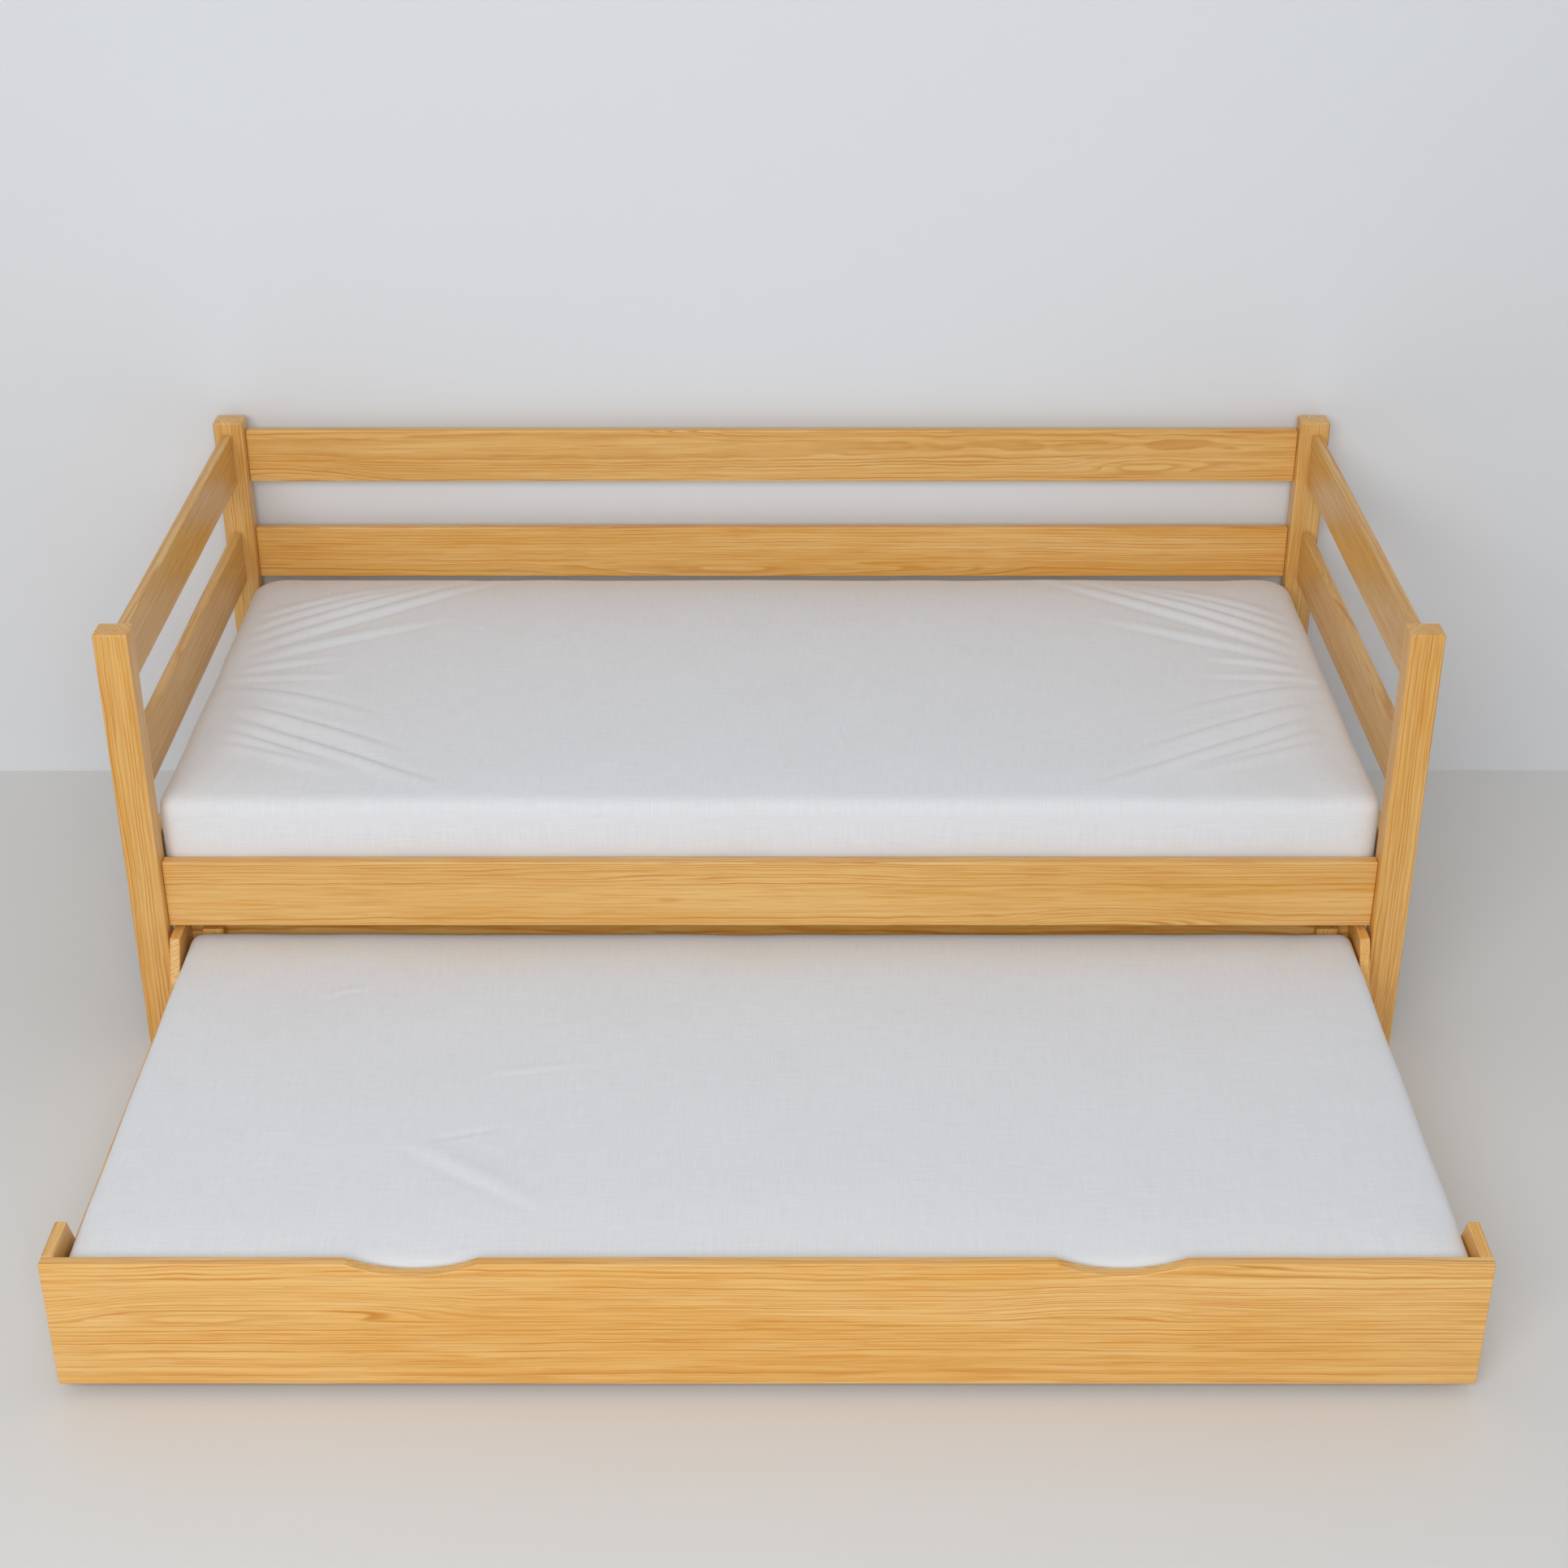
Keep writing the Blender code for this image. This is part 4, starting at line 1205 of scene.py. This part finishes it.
# ---------------------------------------------------------------- fittings
@dataclass
class Fittings:
    """The steel and nylon parts: bed bolts, roller brackets, rollers and screws."""

    finishes: Finishes
    bolt_head: Point = (0.0075, 0.005)
    socket: Point = (0.0029, 0.003)
    bolt_shank: float = 0.004
    thread_pitch: float = 0.0013
    sheet: float = 0.0025
    axle: float = 0.003
    screw_head: float = 0.0042

    def build(self) -> None:
        """Makes and dresses every fitting."""
        for side in ("left", "right"):
            for end in ("front", "back"):
                self.build_bolt(f"bed_bolt_{end}_{side}", side)
                self.build_bracket(f"roller_bracket_{end}_{side}")
                self.build_roller(f"roller_{end}_{side}")
        for end, toward in (("front", 1), ("back", -1)):
            self.screw_row(f"bed_ledger_{end}", toward, 8, "bed")
            self.screw_row(f"trundle_ledger_{end}", toward, 7, "trundle")

    def build_bolt(self, node: str, side: str) -> None:
        """A bed bolt: a threaded shank and a round head with a hexagon socket.

        Args:
            node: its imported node.
            side: "left" or "right", the end of the bed its head is at.
        """
        low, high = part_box(node)
        middle = (low + high) / 2
        out = -1 if side == "left" else 1
        face = low.x if side == "left" else high.x
        tip = high.x if side == "left" else low.x
        radius, thick = self.bolt_head
        inner, depth = self.socket
        length = abs(tip - face)
        profile = [(0.0, inner + 0.0004), (0.0, radius - 0.0008), (0.0003, radius - 0.0003), (0.0009, radius),
                   (thick - 0.0004, radius), (thick, radius - 0.0004), (thick, self.bolt_shank)]
        start = thick + 0.004
        profile.append((start, self.bolt_shank))
        turns = int((length - start - 0.002) / self.thread_pitch)
        for turn in range(turns):
            profile += [(start + (turn + 0.5) * self.thread_pitch, self.bolt_shank - 0.0005),
                        (start + (turn + 1.0) * self.thread_pitch, self.bolt_shank)]
        profile += [(length - 0.0012, self.bolt_shank - 0.0004), (length, self.bolt_shank - 0.0014), (length, 0.0)]
        socket = [(depth + 0.0006, 0.0), (depth, inner * 0.6), (depth, inner), (0.0004, inner)]
        placed = [(-out * along, r) for along, r in socket + profile]
        bm = lathe(placed, 0, (face, middle.y, middle.z), segments=36)
        self.hexagon(bm, face, out, (middle.y, middle.z))
        bolt = place_bmesh(f"{node}.made", bm)
        self.finish(bolt, self.finishes.steel, "bed", "zinc_steel")
        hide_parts(node)

    def hexagon(self, bm: bmesh.types.BMesh, face: float, out: int, center: Point) -> None:
        """Squares the round socket of a bolt head into a hexagon.

        Args:
            bm: the bolt.
            face: the X of the head's face.
            out: 1 or -1, the way the head looks.
            center: the bolt's Y and Z.
        """
        inner, depth = self.socket
        for vert in bm.verts:
            y, z = vert.co.y - center[0], vert.co.z - center[1]
            radius = math.hypot(y, z)
            inside = -0.0001 <= (face - vert.co.x) * out <= depth + 0.0002
            if inside and 0.0 < radius <= inner + 0.0002:
                angle = math.atan2(z, y) % (math.pi / 3) - math.pi / 6
                scale = math.cos(math.pi / 6) / math.cos(angle) * 1.08
                vert.co.y, vert.co.z = center[0] + y * scale, center[1] + z * scale

    def build_bracket(self, node: str) -> None:
        """A roller bracket: one bent strip of sheet with round-ended cheeks, and its riveted axle.

        Args:
            node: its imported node.
        """
        low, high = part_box(node)
        middle = (low + high) / 2
        roller_low, roller_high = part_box(node.replace("roller_bracket", "roller"))
        axle_z = (roller_low.z + roller_high.z) / 2
        half_plate = (high.y - low.y) / 2
        half_foot = min(half_plate, axle_z - low.z + 0.002)
        rivet = 0.0012
        width = high.x - low.x - 2 * rivet
        left, right = middle.x - width / 2, middle.x + width / 2
        bend = 0.003
        top = high.z
        section = [(left, low.z + t * (top - bend - low.z)) for t in np.linspace(0.0, 1.0, 13)[:-1]]
        section += arc((left + bend, top - bend), bend, math.pi, math.pi / 2, 5)
        section += arc((right - bend, top - bend), bend, math.pi / 2, 0.0, 5)
        section += [(right, low.z + t * (top - bend - low.z)) for t in np.linspace(1.0, 0.0, 13)[1:]]
        bm = bmesh.new()
        rows = []
        across = 12
        waist = axle_z + 0.004
        for x, z in section:
            drop = max(0.0, waist - z)
            widening = min(1.0, max(0.0, (z - waist) / 0.02)) ** 0.5
            half = half_foot + (half_plate - half_foot) * widening
            half = max(half * math.sqrt(max(0.0, 1.0 - (drop / (waist - low.z)) ** 2)), 0.0015)
            rows.append([bm.verts.new((x, middle.y + half * (2 * step / across - 1), z))
                         for step in range(across + 1)])
        for first, second in zip(rows, rows[1:]):
            for step in range(across):
                bm.faces.new((first[step], first[step + 1], second[step + 1], second[step]))
        bmesh.ops.recalc_face_normals(bm, faces=bm.faces)
        obj = place_bmesh(f"{node}.pressed", bm)
        if obj.data.polygons[len(obj.data.polygons) // 2].normal.z < 0:
            obj.data.flip_normals()
        solid = obj.modifiers.new("sheet", "SOLIDIFY")
        solid.thickness = self.sheet
        solid.offset = -1.0
        solid.use_even_offset = True
        soften = obj.modifiers.new("soften", "BEVEL")
        soften.width, soften.segments, soften.limit_method = 0.0003, 2, "ANGLE"
        soften.angle_limit = math.radians(50)
        applied(obj)
        head = 0.0052
        left_end = [(0.0, 0.0), (0.0, head * 0.6), (0.0004, head * 0.9), (rivet, head), (rivet + 0.0001, self.axle)]
        profile = [(low.x + along, r) for along, r in left_end]
        profile += [(high.x - along, r) for along, r in reversed(left_end)]
        axle = place_bmesh("axle", lathe(profile, 0, (0.0, middle.y, axle_z), segments=32))
        joined = join_pieces(f"{node}.pressed", [obj, axle])
        self.finish(joined, self.finishes.steel, "trundle", "zinc_steel")
        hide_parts(node)

    def build_roller(self, node: str) -> None:
        """A moulded roller: a rounded tread, a thin ribbed web and a hub round the axle.

        Args:
            node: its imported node, which is also its body.
        """
        low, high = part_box(node)
        middle = (low + high) / 2
        half = (high.x - low.x) / 2
        radius = (high.z - low.z) / 2
        hub, bore, web = 0.008, self.axle + 0.0003, half - 0.0035
        rim = radius - 0.005
        side = [(-half, bore), (-half, hub - 0.0006), (-half + 0.0006, hub), (-web, hub + 0.0010),
                (-web, hub + 0.004), (-web, rim - 0.003), (-web, rim - 0.0006), (-half + 0.0012, rim),
                (-half + 0.0004, rim + 0.0006)]
        tread = [(-half + 0.004 - 0.004 * math.cos(a), radius - 0.004 + 0.004 * math.sin(a))
                 for a in np.linspace(0.0, math.pi / 2, 6)]
        crown = [(-half * 0.25, radius)]
        one = side + tread + crown
        profile = one + [(-along, r) for along, r in reversed(one)]
        bm = lathe(profile, 0, tuple(middle), segments=96, ribs=8, rib_zone=(4, 5), rib_depth=0.0024)
        bmesh.ops.bridge_loops(bm, edges=[edge for edge in bm.edges if edge.is_boundary])
        bmesh.ops.recalc_face_normals(bm, faces=bm.faces)
        roller = place_bmesh(f"{node}.made", bm)
        self.finish(roller, self.finishes.nylon, node, "roller_plastic")
        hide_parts(node)

    def screw_row(self, node: str, toward: int, count: int, body: str) -> None:
        """Countersunk screws along the inner face of a ledger.

        Args:
            node: the ledger.
            toward: 1 where that face looks towards +Y, otherwise -1.
            count: how many screws.
            body: the body they ride on.
        """
        low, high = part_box(node)
        face = high.y if toward > 0 else low.y
        z = (low.z + high.z) / 2
        screws = []
        for number in range(count):
            x = low.x + (high.x - low.x) * (number + 0.5) / count
            radius = self.screw_head
            profile = [(-0.0018, 0.0), (-0.0018, 0.0012), (-0.0004, 0.0020), (0.0002, radius - 0.0006),
                       (0.0001, radius), (-0.0010, radius - 0.0004), (-0.0030, 0.0018), (-0.0030, 0.0)]
            placed = [(toward * along, r) for along, r in profile]
            bm = lathe(placed, 1, (x, face, z), segments=24)
            self.cross(bm, (x, z), 0.3 + 1.7 * number)
            screws.append(place_bmesh(f"screw_{number}", bm))
        self.finish(join_pieces(f"{node}.screws", screws), self.finishes.steel, body, "zinc_steel")

    @staticmethod
    def cross(bm: bmesh.types.BMesh, center: Point, turn: float) -> None:
        """Draws the round recess of a screw head out into a cross.

        Args:
            bm: the screw.
            center: its X and Z.
            turn: how far the cross is turned.
        """
        for vert in bm.verts:
            x, z = vert.co.x - center[0], vert.co.z - center[1]
            radius = math.hypot(x, z)
            if 0.0005 < radius < 0.0025:
                arm = abs(math.cos(2 * (math.atan2(z, x) - turn))) ** 3
                scale = 0.45 + 0.65 * arm
                vert.co.x, vert.co.z = center[0] + x * scale, center[1] + z * scale

    @staticmethod
    def finish(obj: bpy.types.Object, material: bpy.types.Material, body: str, slot: str) -> None:
        """Gives a made piece its one material, its shading and its body."""
        obj.data.materials.clear()
        obj.data.materials.append(material)
        shade(obj)
        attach(obj, body)


# ---------------------------------------------------------------- studio
@dataclass
class Studio:
    """A pale floor, soft light from the front and above, and the camera."""

    floor_color: Color = (0.80, 0.80, 0.79)
    wall_color: Color = (0.825, 0.845, 0.875)
    camera_place: tuple[float, float, float] = (0.0232, -3.5722, 2.4131)
    camera_tilt: float = math.radians(61.5094)
    lens: float = 57.534
    ambient: float = 0.375
    wall_gap: float = 0.022
    wall_size: Point = (14.0, 4.5)

    def build(self) -> None:
        """Makes the stage, the lights and the camera."""
        self.build_floor()
        self.build_wall()
        self.build_lights()
        self.build_camera()

    def build_floor(self) -> None:
        """A broad round floor."""
        bm = bmesh.new()
        sides = 48
        rings = [[turned(bm, 2, (0.0, 0.0, 0.0), 0.0, reach, 2 * math.pi * step / sides) for step in range(sides)]
                 for reach in (1.0, 4.0, 12.0, 40.0)]
        bm.faces.new(rings[0])
        for first, second in zip(rings, rings[1:]):
            for step in range(sides):
                after = (step + 1) % sides
                bm.faces.new((first[step], second[step], second[after], first[after]))
        bmesh.ops.recalc_face_normals(bm, faces=bm.faces)
        material, _, _ = self.clouded("studio_floor", self.floor_color, 1.3, 0.965, 0.85)
        floor = place_bmesh("studio_floor", bm, material)
        floor.data.shade_smooth()
        floor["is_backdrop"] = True

    def build_wall(self) -> None:
        """A plain wall close behind the bed, which shows only from the room's side of it."""
        y = CAD_BOX[1][1] + self.wall_gap
        bm = bmesh.new()
        half, top = self.wall_size[0] / 2, self.wall_size[1]
        corners = ((-half, y, 0.0), (half, y, 0.0), (half, y, top), (-half, y, top))
        bm.faces.new([bm.verts.new(corner) for corner in corners])
        material, g, shader = self.clouded("studio_wall", self.wall_color, 1.1, 0.97, 0.9)
        clear = g.add("BsdfTransparent")
        behind = g.add("NewGeometry").outputs["Backfacing"]
        mixed = g.add("MixShader")
        g.feed(mixed.inputs[0], behind)
        g.feed(mixed.inputs[1], shader.outputs[0])
        g.feed(mixed.inputs[2], clear.outputs[0])
        g.feed(material.node_tree.nodes["Material Output"].inputs["Surface"], mixed.outputs[0])
        place_bmesh("studio_wall", bm, material)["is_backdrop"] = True

    @staticmethod
    def clouded(name: str, color: Color, scale: float, shade_of: float,
                roughness: float) -> tuple[bpy.types.Material, Graph, bpy.types.Node]:
        """A matt paint with faint clouds.

        Args:
            name: the material's name.
            color: its lightest colour.
            scale: how many clouds there are to a metre.
            shade_of: its darkest colour, as a share of the lightest.
            roughness: its roughness.

        Returns:
            The material, its graph and its shader.
        """
        material, g, shader = new_material(name)
        cloud = g.noise(g.add("TexCoord").outputs["Object"], scale=scale, detail=3.0)
        dark = tuple(shade_of * part for part in color)
        g.feed(shader.inputs["Base Color"], g.mix(cloud, dark, color))
        g.feed(shader.inputs["Roughness"], roughness)
        return material, g, shader

    def build_lights(self) -> None:
        """A broad key from the front, a fill from above, and an even surround."""
        self.area("key", (-0.8, -5.2, 3.4), (0.0, 0.1, 0.3), (4.5, 2.4), 188.0)
        self.area("top", (0.3, 0.6, 4.6), (0.0, 0.2, 0.0), (5.0, 3.5), 12.0)
        world = bpy.data.worlds.new("studio")
        world.use_nodes = True
        background = world.node_tree.nodes["Background"]
        background.inputs["Color"].default_value = (0.96, 0.98, 1.0, 1.0)
        background.inputs["Strength"].default_value = self.ambient
        bpy.context.scene.world = world
        bpy.context.scene.view_settings.view_transform = "Standard"

    @staticmethod
    def area(name: str, place: Sequence[float], aim: Sequence[float], size: Point, power: float) -> None:
        """A soft rectangular light at a place, aimed at a point."""
        data = bpy.data.lights.new(name, "AREA")
        data.shape = "RECTANGLE"
        data.size, data.size_y = size
        data.energy = power
        light = bpy.data.objects.new(name, data)
        light.location = place
        light.rotation_euler = (Vector(aim) - Vector(place)).to_track_quat("-Z", "Y").to_euler()
        bpy.context.scene.collection.objects.link(light)

    def build_camera(self) -> None:
        """The camera, above the front and a little right of the middle."""
        data = bpy.data.cameras.new("camera")
        data.sensor_width = 36.0
        data.lens = self.lens
        data.clip_end = 60.0
        camera = bpy.data.objects.new("camera", data)
        camera.location = self.camera_place
        camera.rotation_euler = (self.camera_tilt, 0.0, 0.0)
        bpy.context.scene.collection.objects.link(camera)
        bpy.context.scene.camera = camera


# ---------------------------------------------------------------- the bed
def bed_sheet_folds() -> list[Fold]:
    """The creases of the upper sheet: pleats that fan from each end towards the long edges, and a few small ones."""
    pleats = [
        Fold((-0.965, 0.670), (-0.66, 0.835), 0.0033, 0.013, 0.012),
        Fold((-0.965, 0.620), (-0.61, 0.855), 0.0043, 0.014, 0.010),
        Fold((-0.965, 0.565), (-0.56, 0.870), 0.0053, 0.015, 0.008),
        Fold((-0.955, 0.520), (-0.49, 0.875), 0.0053, 0.016, 0.006),
        Fold((-0.945, 0.485), (-0.58, 0.680), 0.0040, 0.017, 0.004),
        Fold((-0.955, 0.450), (-0.76, 0.505), 0.0030, 0.014),
        Fold((-0.985, 0.418), (-0.73, 0.424), 0.0025, 0.013),
        Fold((-0.975, 0.388), (-0.66, 0.255), 0.0039, -0.016, 0.018),
        Fold((-0.935, 0.318), (-0.60, 0.125), 0.0062, -0.016, 0.004),
        Fold((-0.940, 0.268), (-0.51, 0.010), 0.0068, -0.016, -0.004),
        Fold((-0.935, 0.220), (-0.67, 0.065), 0.0056, -0.014, -0.004),
        Fold((-0.935, 0.178), (-0.69, 0.062), 0.0044, -0.013, -0.003),
    ]
    small = [
        Fold((0.16, 0.10), (0.10, 0.30), 0.0014, 0.006, 0.01),
        Fold((0.22, 0.08), (0.29, 0.24), 0.0014, 0.006),
        Fold((-0.44, 0.52), (-0.36, 0.60), 0.0013, 0.007),
        Fold((-0.57, 0.66), (-0.50, 0.60), 0.0014, 0.007),
    ]
    return pleats + [fold.mirrored() for fold in pleats] + small


def trundle_sheet_folds() -> list[Fold]:
    """The few faint creases of the lower sheet."""
    return [
        Fold((-0.50, -0.62), (-0.37, -0.58), -0.0020, 0.006),
        Fold((-0.54, -0.61), (-0.29, -0.79), 0.0028, 0.019),
        Fold((-0.72, -0.24), (-0.62, -0.20), 0.0014, 0.008),
        Fold((-0.43, -0.45), (-0.26, -0.42), 0.0014, 0.009),
    ]


def main() -> None:
    """Builds every sub-assembly in order and reports the pieces."""
    logging.basicConfig(level=logging.INFO, format="%(name)s: %(message)s")
    finishes = Finishes()
    boards = Boards(finishes)
    BedFrame(boards).build()
    TrundleBox(boards).build()
    Mattress("bed_mattress", "bed", finishes, corners=(0.030, 0.060), rounding=0.022, cell=0.012, fill=0.9,
             swell=0.004, cap=0.006, inset=0.0055, folds=bed_sheet_folds()).build()
    Mattress("trundle_mattress", "trundle", finishes, corners=(0.024, 0.024), rounding=0.020, cell=0.012, fill=0.85,
             swell=0.004, cap=0.006, crown=0.010, shift=0.002, folds=trundle_sheet_folds()).build()
    Fittings(finishes).build()
    Studio().build()
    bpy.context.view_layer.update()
    for name in sorted(obj.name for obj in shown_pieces()):
        LOG.info("piece %s", name)


if __name__ == "__main__":
    main()
